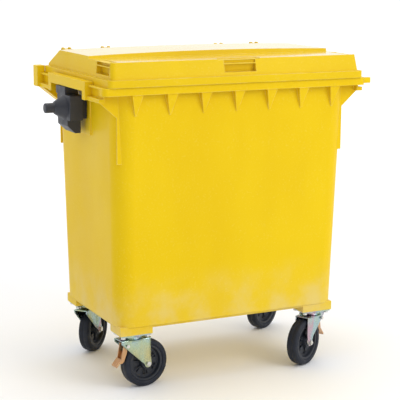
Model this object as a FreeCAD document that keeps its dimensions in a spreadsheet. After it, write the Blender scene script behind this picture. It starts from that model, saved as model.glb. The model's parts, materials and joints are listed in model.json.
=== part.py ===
import FreeCAD, Part
import Sketcher
import math
import os
import re

# Four-wheeled waste container with a flat hinged lid, after the common 770 litre pattern.
# Frame: +X to the container's right, +Y to its hinge side, +Z up, in millimetres.
# The origin is on the floor, under the centre of the overall box.

Vector = FreeCAD.Vector
X_AXIS = Vector(1, 0, 0)
Y_AXIS = Vector(0, 1, 0)
Z_AXIS = Vector(0, 0, 1)

DIMENSIONS = [
    # Container body: tapered walls between a foot section and a top section
    ("rim_top", 1238, "height of the rim's upper face"),
    ("skin", 5, "wall thickness of the body"),
    ("pad_height", 23, "height of a castor pad under the floor"),
    ("floor_skin", 6, "floor thickness"),
    ("foot_bevel", 14, "bevel between floor and walls"),
    ("top_half", 522, "half width of the walls at the rim"),
    ("top_front", 349, "front wall from the centre at the rim"),
    ("top_rear", 336, "rear wall from the centre at the rim"),
    ("top_corner", 80, "corner radius at the rim"),
    ("side_taper", 22, "inward lean of the side walls from rim to floor"),
    ("front_taper", 37, "inward lean of the front wall from rim to floor"),
    ("rear_taper", 32, "inward lean of the rear wall from rim to floor"),
    ("base_corner", 70, "corner radius at the floor"),
    # Collar: the band and ledge round the mouth
    ("collar_side", 61, "collar outside the side walls"),
    ("collar_lead", 31, "collar in front of the front wall"),
    ("collar_tail", 32, "collar behind the rear wall"),
    ("collar_corner", 20, "corner radius of the collar"),
    ("collar_band", 31, "height of the collar band"),
    ("collar_skin", 5, "thickness of the collar band"),
    ("ledge", 6, "thickness of the ledge that the lid closes on"),
    # Comb gussets under the front collar
    ("comb_pitch", 146.5, "spacing of the comb gussets"),
    ("comb_width", 46, "width of a comb gusset at the collar"),
    ("comb_tip", 6, "width of a comb gusset at its tip"),
    ("comb_drop", 84, "height of a comb gusset below the collar"),
    ("comb_setback", 5, "comb gusset face behind the collar face"),
    # Side rims with hand grips and trunnion frames
    ("rim_inset", 13, "outer face of the grip recess inside the collar face"),
    ("rim_wall", 6, "thickness of the grip recess wall"),
    ("rim_drop", 58, "depth of the side rim below the rim top"),
    ("lip_height", 15, "height of the lip under a grip recess"),
    ("lip_out", 7, "lip outside the collar face"),
    ("grip_setback", 45, "front end of the front grip recess behind the collar face"),
    ("grip_web", 8, "length of the side rim in front of the front grip recess"),
    ("frame_out", 17, "trunnion frame outside the collar face"),
    ("frame_front", 225, "front of the trunnion frame before the centre"),
    ("frame_rear", 196, "rear of the trunnion frame behind the centre"),
    ("frame_leg", 32, "length of a trunnion frame leg"),
    ("frame_rise", 13, "trunnion frame bar above the rim top"),
    ("frame_bar", 38, "height of the trunnion frame bar"),
    ("post_lead", 33, "front of the rear corner post before the collar's rear"),
    ("post_tail", 17, "rear of the rear corner post behind the collar"),
    ("post_rise", 30, "rear corner post above the rim top"),
    ("lug_reach", 24, "reach of the lug at the right end of the front collar"),
    ("lug_height", 23, "height of that lug"),
    ("lug_setback", 2, "front of that lug behind the collar face"),
    ("lug_length", 18, "length of that lug"),
    ("lug_root", 8, "depth of that lug inside the collar face"),
    # Corner ribs and their gussets
    ("rib_inset", 16, "outer edge of a corner rib inside the wall at the rim"),
    ("rib_thickness", 8, "thickness of a corner rib"),
    ("rib_drop", 303, "lower end of a corner rib below the rim top"),
    ("rib_setback", 64, "middle of the front ribs behind the collar face"),
    ("rib_rear_inset", 52, "middle of the rear ribs before the collar's rear"),
    ("corner_gusset_lead", 56, "front of the gusset under a rear corner post, before the collar's rear"),
    ("corner_gusset_tail", 12, "rear of that gusset behind the collar"),
    ("corner_gusset_inset", 3, "outer face of that gusset inside the collar face"),
    ("corner_gusset_drop", 63, "outer lower corner of that gusset below the rim top"),
    ("gusset_drop", 122, "lower end of the gusset on a rib below the rim top"),
    ("gusset_shoulder", 48, "outer lower corner of the gusset below the rim top"),
    # Lid
    ("lid_gap", 0.4, "gap between lid and ledge"),
    ("lid_side_gap", 2, "gap between lid and trunnion frame"),
    ("lid_skin", 4, "wall thickness of the lid"),
    ("skirt_inset", 19, "sides of the lid skirt inside the collar face"),
    ("skirt_lead", 9, "lid skirt in front of the collar"),
    ("skirt_rear_inset", 13, "rear of the lid skirt in front of the collar's rear"),
    ("skirt_corner", 18, "corner radius of the lid skirt"),
    ("skirt_rise", 29, "top of the lid skirt above the rim top"),
    ("hood_inset", 15, "sides of the raised lid inside the skirt"),
    ("hood_setback", 8, "front of the raised lid behind the skirt"),
    ("hood_rear_inset", 4, "rear of the raised lid before the skirt's rear"),
    ("hood_corner", 18, "corner radius of the raised lid"),
    ("hood_draft", 6, "inward lean of the raised lid's sides"),
    ("hood_front_draft", 26, "inward lean of the raised lid's front"),
    ("front_panel_rise", 95, "front lid panel above the rim top"),
    ("front_panel_fall", 3, "fall of the front lid panel towards the riser"),
    ("riser_front", 126, "riser between the panels, in front of the centre"),
    ("riser_lean", 5, "lean of the riser"),
    ("rear_panel_rise", 112, "middle of the rear lid panel above the rim top"),
    ("panel_crown", 9, "rise of the rear panel from its sides to its middle"),
    ("slope_length", 165, "start of the rear slope before the skirt's rear"),
    ("slope_rise", 30, "rear slope above the rim top at the lid's rear"),
    # Lid grips
    ("pull_half", 70, "half width of a lid grip"),
    ("pull_rise", 43, "lower edge of a lid grip above the rim top"),
    ("pull_clear", 31, "clear height of a lid grip under its lip"),
    ("pull_lip_height", 4, "thickness of that lip"),
    ("pull_height", 47, "whole height of a lid grip"),
    ("pull_depth", 26, "depth of a lid grip"),
    ("pull_groove", 10, "depth of the groove above the lip"),
    ("pull_dish", 3, "depth of the finger dish on top of the lid"),
    ("pull_dish_half", 92, "half width of the finger dish"),
    ("pull_dish_length", 34, "length of the finger dish"),
    ("dish_setback", 4, "finger dish behind the top edge of the raised lid's front"),
    ("side_dish_extra", 8, "length of a side finger dish behind its grip"),
    ("pull_lean", 5, "lean of the raised lid's front at a grip's hollow"),
    ("groove_lean", 15, "lean of the raised lid's front at a grip's groove"),
    ("groove_side_lean", 7, "lean of the raised lid's sides at a grip's groove"),
    ("side_pull_y", 281, "middle of a side grip in front of the centre"),
    ("side_pull_half", 67, "half length of a side grip"),
    # Hinges
    ("hinge_setback", 5, "hinge axis behind the collar"),
    ("hinge_rise", 80, "hinge axis above the rim top"),
    ("knuckle", 16, "radius of a hinge knuckle"),
    ("bearing_shoulder", 8, "height above the rim top where a hinge bearing's back turns upright"),
    ("rod_radius", 6, "radius of a hinge rod"),
    ("running", 0.05, "radial clearance of a turning fit"),
    ("hinge_inner", 275, "inner hinge from the centre"),
    ("hinge_outer", 456, "outer hinge from the centre"),
    ("bearing_half", 9, "half thickness of the body's hinge bearing"),
    ("ear_gap", 1, "side gap between bearing and lid ear"),
    ("ear", 9, "thickness of a lid ear"),
    ("ear_length", 93, "front end of a lid ear before the skirt's rear"),
    ("rod_head", 3, "thickness of a hinge rod's head"),
    ("rod_head_radius", 10, "radius of a hinge rod's head"),
    # Trunnions
    ("seat_out", 2, "trunnion seat outside the wall at the rim"),
    ("trunnion_drop", 110, "trunnion axis below the rim top"),
    ("pin_length", 41, "length of the trunnion pin beyond the cone"),
    ("pin_radius", 20, "radius of the trunnion pin"),
    ("pin_chamfer", 3, "chamfer at the trunnion pin's end"),
    ("bracket_reach", 82, "trunnion bracket from the seat to its outer face"),
    ("cone_length", 40, "length of the trunnion cone"),
    ("cone_radius", 49, "radius of the cone at the block"),
    ("cone_nose", 25, "radius of the cone at the pin"),
    ("neck", 25, "length of the neck between body and block"),
    ("neck_half", 48, "half width of the neck"),
    ("neck_drop", 44, "lower face of the neck below the trunnion axis"),
    ("neck_rise", 30, "upper face of the neck above the trunnion axis"),
    ("block_half", 73, "half length of the trunnion block"),
    ("block_drop", 48, "lower face of the trunnion block below the axis"),
    ("block_rise", 52, "upper face of the trunnion block above the axis"),
    ("heel_near", 44, "short side of the wedge under the block, from the middle"),
    ("heel_far", 70, "long side of that wedge, from the middle"),
    ("shoulder_drop", 71, "lower edge of the wedge's outer face below the axis"),
    ("heel_slope", 33, "run of the wedge's slanted underside"),
    ("heel_drop", 102, "lower face of the wedge below the axis"),
    ("spine_near", 18, "short side of the upright above the block, from the middle"),
    ("spine_far", 88, "long side of that upright, from the middle"),
    ("spine_gap", 2, "gap between that upright and the trunnion frame bar"),
    ("seat_margin", 6, "border of the trunnion seat round the bracket"),
    ("seat_root", 20, "depth of the trunnion seat inside the wall at the rim"),
    ("seat_depth", 18, "depth of the trunnion seat to the pad behind it"),
    ("screw_y", 28, "trunnion screws from the middle"),
    ("screw_drop", 7, "middle of the trunnion screws below the axis"),
    ("screw_rise", 22, "trunnion screws above and below that height"),
    ("screw_radius", 5, "radius of a trunnion screw"),
    ("screw_head", 6, "height of a trunnion screw head"),
    ("screw_head_radius", 8.5, "corner radius of a trunnion screw head"),
    ("screw_grip", 20, "length of a trunnion screw in the bracket"),
    # Castors
    ("castor_inset", 80, "swivel axes inside the side walls at the floor"),
    ("castor_setback", 62, "front swivel axes behind the front wall at the floor"),
    ("castor_headroom", 35, "castor top plate above the tyre"),
    ("trail", 57, "wheel axle behind the swivel axis"),
    ("wheel_radius", 100, "tyre radius"),
    ("yaw_front_left", 8, "turn of the front left castor"),
    ("yaw_front_right", 208, "turn of the front right castor"),
    ("yaw_rear_left", 42, "turn of the rear left castor"),
    ("yaw_rear_right", 27, "turn of the rear right castor"),
    ("pad_length", 140, "length of a castor pad under the floor"),
    ("pad_width", 108, "width of a castor pad"),
    ("top_length", 130, "length of a castor top plate"),
    ("top_width", 104, "width of a castor top plate"),
    ("top_thickness", 6, "thickness of a castor top plate"),
    ("bolt_x", 52.5, "castor bolts from the swivel axis, across"),
    ("bolt_y", 40, "castor bolts from the swivel axis, front to rear"),
    ("bolt_radius", 6, "radius of a castor bolt"),
    ("bolt_head", 8, "height of a castor bolt head"),
    ("bolt_head_radius", 10.4, "corner radius of a castor bolt head"),
    ("bolt_depth", 20, "length of a castor bolt above the top plate"),
    ("race_radius", 46, "radius of the ball race"),
    ("race_height", 16.7, "height of the ball race"),
    ("swivel_gap", 0.3, "gap between parts that swivel past each other"),
    ("crown", 6, "thickness of the fork crown"),
    ("kingpin_radius", 8, "radius of the kingpin"),
    ("kingpin_head", 11, "height of the kingpin head"),
    ("kingpin_head_radius", 14, "corner radius of the kingpin head"),
    ("fork_front", 64, "crown in front of the swivel axis"),
    ("fork_tail", 15, "crown behind the axle"),
    ("leg_foot", 4, "lower corners of a leg below the axle"),
    ("crown_rim", 3, "round part of the crown outside the ball race"),
    ("fork_lead_drop", 39, "leading edge of a leg below the top of the castor"),
    ("fork_half", 36, "half width of the fork"),
    ("fork_skin", 5, "thickness of a fork leg"),
    ("fork_eye", 16, "radius of the fork leg round the axle"),
    ("axle_radius", 6, "radius of the axle bolt"),
    ("axle_head", 8, "height of the axle bolt's head and nut"),
    ("axle_head_radius", 11, "corner radius of the axle bolt's head"),
    ("axle_tail", 3, "thread beyond the axle nut"),
    ("tyre_half", 25, "half width of the tyre"),
    ("tyre_round", 9, "radius of the tyre's shoulders"),
    ("tyre_bead", 4, "slant of the tyre's flanks next to the rim"),
    ("tyre_depth", 24, "thickness of the tyre"),
    ("rim_half", 21, "half width of the rim"),
    ("rim_ring", 9, "thickness of the rim ring"),
    ("rim_draft", 4, "slant of the rim ring and hub where they meet the web"),
    ("web_half", 7, "half thickness of the rim web"),
    ("hub_radius", 23, "outer radius of the hub"),
    ("hub_half", 28, "half width of the hub"),
    ("sleeve_radius", 12, "outer radius of the bearing sleeve"),
    ("sleeve_half", 30.5, "half length of the bearing sleeve"),
    ("window_inner", 31, "inner end of a rim window"),
    ("window_margin", 15, "rim web outside a rim window"),
    ("window_inner_half", 7, "half width of a rim window at its inner end"),
    ("window_outer_half", 15, "half width of a rim window at its outer end"),
    # Brake on the two front castors
    ("pedal_pivot_x", 38, "pedal pin in front of the swivel axis"),
    ("pedal_pivot_drop", 47, "pedal pin below the top of the castor"),
    ("pedal_pin_radius", 4, "radius of the pedal pin"),
    ("pedal_pin_head", 3, "thickness of a pedal pin head"),
    ("pedal_pin_flange", 3, "reach of a pedal pin head outside the pin"),
    ("pedal_arm", 4, "thickness of a pedal arm"),
    ("pedal_eye", 8, "reach of a pedal arm round its pin"),
    ("pedal_half", 19, "half width of the pedal"),
    ("pedal_travel", 3, "turn of the pedal to its stop, in degrees"),
    ("tread_lead", 26, "middle of the pedal tread before the tyre"),
    ("tread_rise", 16, "middle of the pedal tread above the axle"),
    ("tread_half", 20, "half length of the pedal tread"),
    ("tread_tilt", 50, "tilt of the pedal tread, in degrees"),
    ("tread_thickness", 5, "thickness of the pedal tread"),
    ("arm_foot", 14, "lower corner of a pedal arm behind the middle of the tread"),
    ("arm_low_angle", 12, "lower end of a pedal arm's edge along the tyre, in degrees above the axle"),
    ("arm_high_angle", 30, "upper end of that edge, in degrees above the axle"),
    ("shoe_gap", 4, "gap between brake shoe and tyre"),
    ("shoe_thickness", 7, "thickness of the brake shoe"),
    ("shoe_low", 22, "lower edge of the brake shoe above the axle"),
    ("shoe_high", 56, "upper edge of the brake shoe above the axle"),
]

ALIASES = {alias for alias, number, meaning in DIMENSIONS}

# Positions that follow from the dimensions, so that the pieces stay together when one changes
TIED = {
    "frame_top": "rim_top + frame_rise",
    "post_top": "rim_top + post_rise",
    "rib_foot": "rim_top - rib_drop",
    "gusset_foot": "rim_top - gusset_drop",
    "gusset_top": "rim_top - gusset_shoulder",
    "corner_gusset_top": "rim_top - corner_gusset_drop",
    "skirt_top": "rim_top + skirt_rise",
    "front_panel": "rim_top + front_panel_rise",
    "rear_panel": "rim_top + rear_panel_rise",
    "slope_foot": "rim_top + slope_rise",
    "pull_floor": "rim_top + pull_rise",
    "pull_lip": "pull_floor + pull_clear",
    "pull_top": "pull_floor + pull_height",
    "hinge_z": "rim_top + hinge_rise",
    "trunnion_z": "rim_top - trunnion_drop",
    "neck_foot": "trunnion_z - neck_drop",
    "neck_head": "trunnion_z + neck_rise",
    "block_foot": "trunnion_z - block_drop",
    "block_head": "trunnion_z + block_rise",
    "heel_shoulder": "trunnion_z - shoulder_drop",
    "heel_foot": "trunnion_z - heel_drop",
    "spine_head": "frame_top - frame_bar - spine_gap",
    "screw_z": "trunnion_z - screw_drop",
    "base_half": "top_half - side_taper",
    "collar_half": "top_half + collar_side",
    "rim_back": "collar_half - rim_inset",
    "lip_reach": "collar_half + lip_out",
    "frame_reach": "collar_half + frame_out",
    "corner_gusset_reach": "collar_half - corner_gusset_inset",
    "skirt_half": "collar_half - skirt_inset",
    "hood_half": "skirt_half - hood_inset",
    "rib_reach": "top_half - rib_inset",
    "seat_face": "top_half + seat_out",
    "inner_pad": "seat_face - seat_depth",
    "cone_start": "seat_face + bracket_reach",
    "cone_end": "cone_start + cone_length",
    "pin_tip": "cone_end + pin_length",
    "castor_x": "base_half - castor_inset",
    "base_front": "top_front - front_taper",
    "collar_front": "top_front + collar_lead",
    "skirt_front": "collar_front + skirt_lead",
    "grip_front": "collar_front - grip_setback",
    "rib_front": "collar_front - rib_setback",
    "hood_front": "skirt_front - hood_setback",
    "castor_y": "base_front - castor_setback",
    "base_rear": "top_rear - rear_taper",
    "collar_rear": "top_rear + collar_tail",
    "skirt_rear": "collar_rear - skirt_rear_inset",
    "hinge_y": "collar_rear + hinge_setback",
    "post_front": "collar_rear - post_lead",
    "post_rear": "collar_rear + post_tail",
    "rib_rear": "collar_rear - rib_rear_inset",
    "corner_gusset_front": "collar_rear - corner_gusset_lead",
    "corner_gusset_rear": "collar_rear + corner_gusset_tail",
    "hood_rear": "skirt_rear - hood_rear_inset",
    "ear_start": "skirt_rear - ear_length",
    "slope_start": "skirt_rear - slope_length",
    "castor_height": "2 * wheel_radius + castor_headroom",
    "floor_base": "castor_height + pad_height",
    "pedal_pivot_z": "castor_height - pedal_pivot_drop",
    "fork_lead": "castor_height - fork_lead_drop",
    "tyre_seat": "wheel_radius - tyre_depth",
    "rim_inner": "tyre_seat - rim_ring",
    "window_outer": "rim_inner - window_margin",
    "tread_z": "wheel_radius + tread_rise",
    "tread_x": "wheel_radius - trail + tread_lead",
    "fork_rear": "trail + fork_tail",
}

doc = FreeCAD.newDocument("waste_container")
sheet = doc.addObject("Spreadsheet::Sheet", "Dimensions")
for row, (alias, number, meaning) in enumerate(DIMENSIONS, start=1):
    sheet.set(f"A{row}", meaning)
    sheet.set(f"B{row}", str(number))
    sheet.setAlias(f"B{row}", alias)
doc.recompute()

pieces = []


# Small tools that build document objects with sizes bound to the sheet

def linked(formula):
    """The formula with each dimension's name pointing at its cell."""
    def point_at_cell(match):
        word = match.group(0)
        if word in TIED:
            return f"({linked(TIED[word])})"
        return f"Dimensions.{word}" if word in ALIASES else word
    return re.sub(r"[a-z][a-z0-9_]*", point_at_cell, str(formula))


def value(formula):
    """The number that a formula of dimensions gives."""
    result = sheet.evalExpression(linked(formula))
    return float(getattr(result, "Value", result))


def bind(item, **formulas):
    """Bind properties of a document object to formulas of dimensions."""
    for name, formula in formulas.items():
        item.setExpression(name, linked(formula))
    return item


def move_to(item, x=0, y=0, z=0, rotation=None):
    """Place a document object, with its position bound to the sheet."""
    item.Placement = FreeCAD.Placement(Vector(0, 0, 0), rotation or FreeCAD.Rotation())
    for letter, formula in (("x", x), ("y", y), ("z", z)):
        item.setExpression(f"Placement.Base.{letter}", linked(formula))
    return item


def named(label, item):
    """Give a finished sub-part its own label and put it on the list to write."""
    item.Label = label
    pieces.append(item)
    return item


def block(name, across, along, upward):
    """Box between two formulas on each axis."""
    item = doc.addObject("Part::Box", name)
    bind(item, Length=f"({across[1]}) - ({across[0]})")
    bind(item, Width=f"({along[1]}) - ({along[0]})")
    bind(item, Height=f"({upward[1]}) - ({upward[0]})")
    return move_to(item, across[0], along[0], upward[0])


AXIS_TURNS = {
    "x": FreeCAD.Rotation(Y_AXIS, 90),
    "y": FreeCAD.Rotation(X_AXIS, -90),
    "z": FreeCAD.Rotation(),
}


def rod(name, radius, length, start, axis="z"):
    """Cylinder from a start point along an axis."""
    item = doc.addObject("Part::Cylinder", name)
    bind(item, Radius=radius, Height=length)
    return move_to(item, *start, AXIS_TURNS[axis])


def taper(name, first_radius, last_radius, length, start, axis="z"):
    """Cone frustum from a start point along an axis."""
    item = doc.addObject("Part::Cone", name)
    bind(item, Radius1=first_radius, Radius2=last_radius, Height=length)
    return move_to(item, *start, AXIS_TURNS[axis])


def hexagon(name, corner_radius, length, start, axis="z"):
    """Hexagonal head or nut from a start point along an axis."""
    item = doc.addObject("Part::Prism", name)
    item.Polygon = 6
    bind(item, Circumradius=corner_radius, Height=length)
    return move_to(item, *start, AXIS_TURNS[axis])


def fuse(name, items):
    """Union of document objects."""
    item = doc.addObject("Part::MultiFuse", name)
    item.Shapes = items
    item.Refine = True
    return item


def cut(name, base, tool):
    """One document object less another."""
    item = doc.addObject("Part::Cut", name)
    item.Base = base
    item.Tool = tool
    item.Refine = True
    return item


def common(name, first, second):
    """Shared volume of two document objects."""
    item = doc.addObject("Part::Common", name)
    item.Base = first
    item.Tool = second
    return item


def group(name, items):
    """Separate solids that share one sub-part."""
    item = doc.addObject("Part::Compound", name)
    item.Links = items
    return item


def mirrored(name, source):
    """Mirror image of a document object in the YZ plane."""
    item = doc.addObject("Part::Mirroring", name)
    item.Source = source
    item.Base = Vector(0, 0, 0)
    item.Normal = X_AXIS
    return item


def loft(name, sections):
    """Straight-sided solid through closed sketches."""
    item = doc.addObject("Part::Loft", name)
    item.Sections = sections
    item.Solid = True
    item.Ruled = True
    return item


def extrude(name, sketch, direction, length):
    """Solid pushed from a closed sketch along a direction."""
    item = doc.addObject("Part::Extrusion", name)
    item.Base = sketch
    item.DirMode = "Custom"
    item.Dir = direction
    item.Solid = True
    return bind(item, LengthFwd=length)


# Sketches

SKETCH_TURNS = {
    "xy": FreeCAD.Rotation(),
    "xz": FreeCAD.Rotation(X_AXIS, 90),
    "yz": FreeCAD.Rotation(Vector(1, 1, 1), 120),
}
ORIGIN_POINT = (-1, 1)
START = 1
END = 2


def constrain(sketch, name, kind, *places, formula):
    """Add a named measure to a sketch and bind it to a formula."""
    index = sketch.addConstraint(Sketcher.Constraint(kind, *places, value(formula)))
    sketch.renameConstraint(index, name)
    sketch.setExpression(f"Constraints.{name}", linked(formula))


def pin_down(sketch, letter, point, name, formula):
    """Hold one coordinate of a sketch point at a formula, on either side of the origin."""
    kind = "DistanceX" if letter == "x" else "DistanceY"
    if value(formula) < 0:
        constrain(sketch, name, kind, *point, *ORIGIN_POINT, formula=f"-({formula})")
    else:
        constrain(sketch, name, kind, *ORIGIN_POINT, *point, formula=formula)


def draw_outline(sketch, corners):
    """Closed polygon whose corners are pairs of formulas."""
    spots = [Vector(value(first), value(second), 0) for first, second in corners]
    count = len(spots)
    for index in range(count):
        sketch.addGeometry(Part.LineSegment(spots[index], spots[(index + 1) % count]), False)
    for index in range(count):
        sketch.addConstraint(Sketcher.Constraint("Coincident", index, END, (index + 1) % count, START))
    for index, (first, second) in enumerate(corners):
        pin_down(sketch, "x", (index, START), f"across_{index}", first)
        pin_down(sketch, "y", (index, START), f"up_{index}", second)


def outline(name, plane, offset, corners):
    """Free sketch of a polygon in a plane at an offset along the plane's remaining axis."""
    sketch = doc.addObject("Sketcher::SketchObject", name)
    draw_outline(sketch, corners)
    place = {"xy": (0, 0, offset), "xz": (0, offset, 0), "yz": (offset, 0, 0)}[plane]
    return move_to(sketch, *place, SKETCH_TURNS[plane])


def plan(name, height, half, front, rear, corner):
    """Level rounded rectangle, symmetric about the YZ plane; front and rear are distances."""
    sketch = doc.addObject("Sketcher::SketchObject", name)
    h, f, r, c = value(half), value(front), value(rear), value(corner)
    straight = [
        (Vector(c - h, -f, 0), Vector(h - c, -f, 0)),
        (Vector(h, c - f, 0), Vector(h, r - c, 0)),
        (Vector(h - c, r, 0), Vector(c - h, r, 0)),
        (Vector(-h, r - c, 0), Vector(-h, c - f, 0)),
    ]
    centres = [
        Vector(h - c, c - f, 0),
        Vector(h - c, r - c, 0),
        Vector(c - h, r - c, 0),
        Vector(c - h, c - f, 0),
    ]
    for start, end in straight:
        sketch.addGeometry(Part.LineSegment(start, end), False)
    for index, centre in enumerate(centres):
        first_angle = (index - 1) * math.pi / 2
        arc = Part.ArcOfCircle(Part.Circle(centre, Z_AXIS, c), first_angle, first_angle + math.pi / 2)
        sketch.addGeometry(arc, False)
    for index in range(4):
        arc_index = index + 4
        sketch.addConstraint(Sketcher.Constraint("Tangent", index, END, arc_index, START))
        sketch.addConstraint(Sketcher.Constraint("Tangent", arc_index, END, (index + 1) % 4, START))
        direction = "Horizontal" if index % 2 == 0 else "Vertical"
        sketch.addConstraint(Sketcher.Constraint(direction, index))
    for arc_index in (5, 6, 7):
        sketch.addConstraint(Sketcher.Constraint("Equal", 4, arc_index))
    constrain(sketch, "corner", "Radius", 4, formula=corner)
    constrain(sketch, "right", "DistanceX", *ORIGIN_POINT, 1, START, formula=half)
    constrain(sketch, "left", "DistanceX", 3, START, *ORIGIN_POINT, formula=half)
    constrain(sketch, "front", "DistanceY", 0, START, *ORIGIN_POINT, formula=front)
    constrain(sketch, "rear", "DistanceY", *ORIGIN_POINT, 2, START, formula=rear)
    return move_to(sketch, 0, 0, height)


def turned(label, profile, rounded=None):
    """Body turned about its own X axis from a profile of (place along the axis, radius)."""
    body = doc.addObject("PartDesign::Body", f"{label}_body")
    sketch = body.newObject("Sketcher::SketchObject", f"{label}_profile")
    plane = next(item for item in body.Origin.OriginFeatures if item.Role == "XY_Plane")
    sketch.AttachmentSupport = [(plane, "")]
    sketch.MapMode = "FlatFace"
    draw_outline(sketch, profile)
    solid = body.newObject("PartDesign::Revolution", f"{label}_turned")
    solid.Profile = sketch
    solid.ReferenceAxis = (sketch, ["H_Axis"])
    solid.Angle = 360
    if rounded:
        radius, round_radius = rounded
        doc.recompute()
        edges = [
            f"Edge{number}"
            for number, edge in enumerate(solid.Shape.Edges, start=1)
            if edge.Curve.TypeId == "Part::GeomCircle" and abs(edge.Curve.Radius - value(radius)) < 0.001
        ]
        shoulder = body.newObject("PartDesign::Fillet", f"{label}_shoulders")
        shoulder.Base = (solid, edges)
        bind(shoulder, Radius=round_radius)
        body.Tip = shoulder
    return body


# Container body

def body_walls():
    """Outer solid of the tapered walls, closed at the bottom by a bevelled floor."""
    return loft("walls", [
        plan("walls_foot", "floor_base", "base_half - foot_bevel", "base_front - foot_bevel",
             "base_rear - foot_bevel", "base_corner - foot_bevel"),
        plan("walls_base", "floor_base + foot_bevel", "base_half", "base_front", "base_rear", "base_corner"),
        plan("walls_top", "rim_top", "top_half", "top_front", "top_rear", "top_corner"),
    ])


def body_room():
    """Space inside the walls, carried on above the rim so that the mouth is open."""
    inset = "foot_bevel - skin"
    return loft("room", [
        plan("room_foot", "floor_base + floor_skin", f"base_half - skin - {inset}",
             f"base_front - skin - {inset}",
             f"base_rear - skin - {inset}", f"base_corner - skin - {inset}"),
        plan("room_base", "floor_base + floor_skin + foot_bevel", "base_half - skin", "base_front - skin",
             "base_rear - skin", "base_corner - skin"),
        plan("room_top", "rim_top + 1", "top_half - skin", "top_front - skin", "top_rear - skin",
             "top_corner - skin"),
    ])


def collar():
    """Ledge round the mouth with a band hanging from its outer edge."""
    base = "rim_top - collar_band"
    full = extrude("collar_full", plan("collar_plan", base, "collar_half", "collar_front", "collar_rear",
                                       "collar_corner"), Z_AXIS, "collar_band")
    under = extrude("collar_under", plan("collar_under_plan", f"{base} - 1", "collar_half - collar_skin",
                                         "collar_front - collar_skin", "collar_rear - collar_skin",
                                         "collar_corner - collar_skin"), Z_AXIS, "collar_band - ledge + 1")
    side = ("rim_back", "collar_half + 1")
    height = (f"{base} - 1", "rim_top - ledge")
    recesses = []
    for mark, across in (("right", side), ("left", (f"-({side[1]})", f"-({side[0]})"))):
        recesses.append(block(f"band_recess_{mark}", across, ("-grip_front", "post_front"), height))
    return cut("collar", full, fuse("collar_hollows", [under] + recesses))


def comb():
    """Row of pointed gussets under the front collar."""
    gussets = []
    top = "rim_top - collar_band + 2"
    tip = "rim_top - collar_band - comb_drop"
    front = "-(collar_front - comb_setback)"
    root = "-(base_front)"
    wall_at_tip = "-(top_front - 1)"
    for step in range(-3, 4):
        middle = f"{step} * comb_pitch"
        sections = []
        levels = (("top", top, "comb_width / 2", front), ("tip", tip, "comb_tip / 2", wall_at_tip))
        for mark, height, half, face in levels:
            corners = [
                (f"{middle} - {half}", face),
                (f"{middle} + {half}", face),
                (f"{middle} + {half}", root),
                (f"{middle} - {half}", root),
            ]
            sections.append(outline(f"comb_{mark}_{step + 4}", "xy", height, corners))
        gussets.append(loft(f"comb_gusset_{step + 4}", sections))
    return gussets


def side_rim():
    """Right side rim: grip recesses, lips, trunnion frame and rear corner post."""
    foot = "rim_top - rim_drop"
    inner = "rim_back - rim_wall"
    run = ("-grip_front - grip_web", "post_rear")
    back = block("rim_back_wall", (inner, "rim_back"), run, (foot, "rim_top - 1"))
    lip = block("rim_lip", (inner, "lip_reach"), run, (foot, f"{foot} + lip_height"))
    frame = block("trunnion_frame", (inner, "frame_reach"), ("-frame_front", "frame_rear"),
                  (foot, "frame_top"))
    post = block("rear_post", ("skirt_half + lid_side_gap", "frame_reach"), ("post_front", "post_rear"),
                 (foot, "post_top"))
    solid = fuse("side_rim_solid", [back, lip, frame, post])
    window = block("trunnion_window", (f"{inner} - 1", "frame_reach + 1"),
                   ("frame_leg - frame_front", "frame_rear - frame_leg"),
                   (f"{foot} - 1", "frame_top - frame_bar"))
    bar_room = block("frame_bar_room", ("rim_back", "frame_reach - skin"),
                     ("frame_leg - frame_front", "frame_rear - frame_leg"),
                     ("frame_top - frame_bar - 1", "frame_top - skin"))
    post_room = block("rear_post_room", ("skirt_half + lid_side_gap + skin", "frame_reach - skin"),
                      ("post_front + skin", "post_rear - skin"), (f"{foot} - 1", "post_top - skin"))
    lid_space = block("frame_lid_space", (f"{inner} - 1", "skirt_half + lid_side_gap"),
                      ("-frame_front - 1", "frame_rear + 1"), ("rim_top - 1", "frame_top + 1"))
    return cut("side_rim", solid, fuse("side_rim_hollows", [window, bar_room, post_room, lid_space]))


def corner_rib(name, middle):
    """Upright rib near a right-hand corner, flaring into a gusset under the rim."""
    corners = [
        ("top_half - top_corner", "rib_foot"),
        ("rib_reach", "rib_foot"),
        ("rib_reach", "gusset_foot"),
        ("lip_reach", "gusset_top"),
        ("lip_reach", "rim_top - rim_drop + lip_height - 1"),
        ("rim_back - 1", "rim_top - rim_drop + lip_height - 1"),
        ("rim_back - 1", "rim_top - ledge / 2"),
        ("top_half - top_corner", "rim_top - ledge / 2"),
    ]
    sketch = outline(f"{name}_outline", "xz", f"{middle} + rib_thickness / 2", corners)
    return extrude(name, sketch, Vector(0, -1, 0), "rib_thickness")


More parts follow.
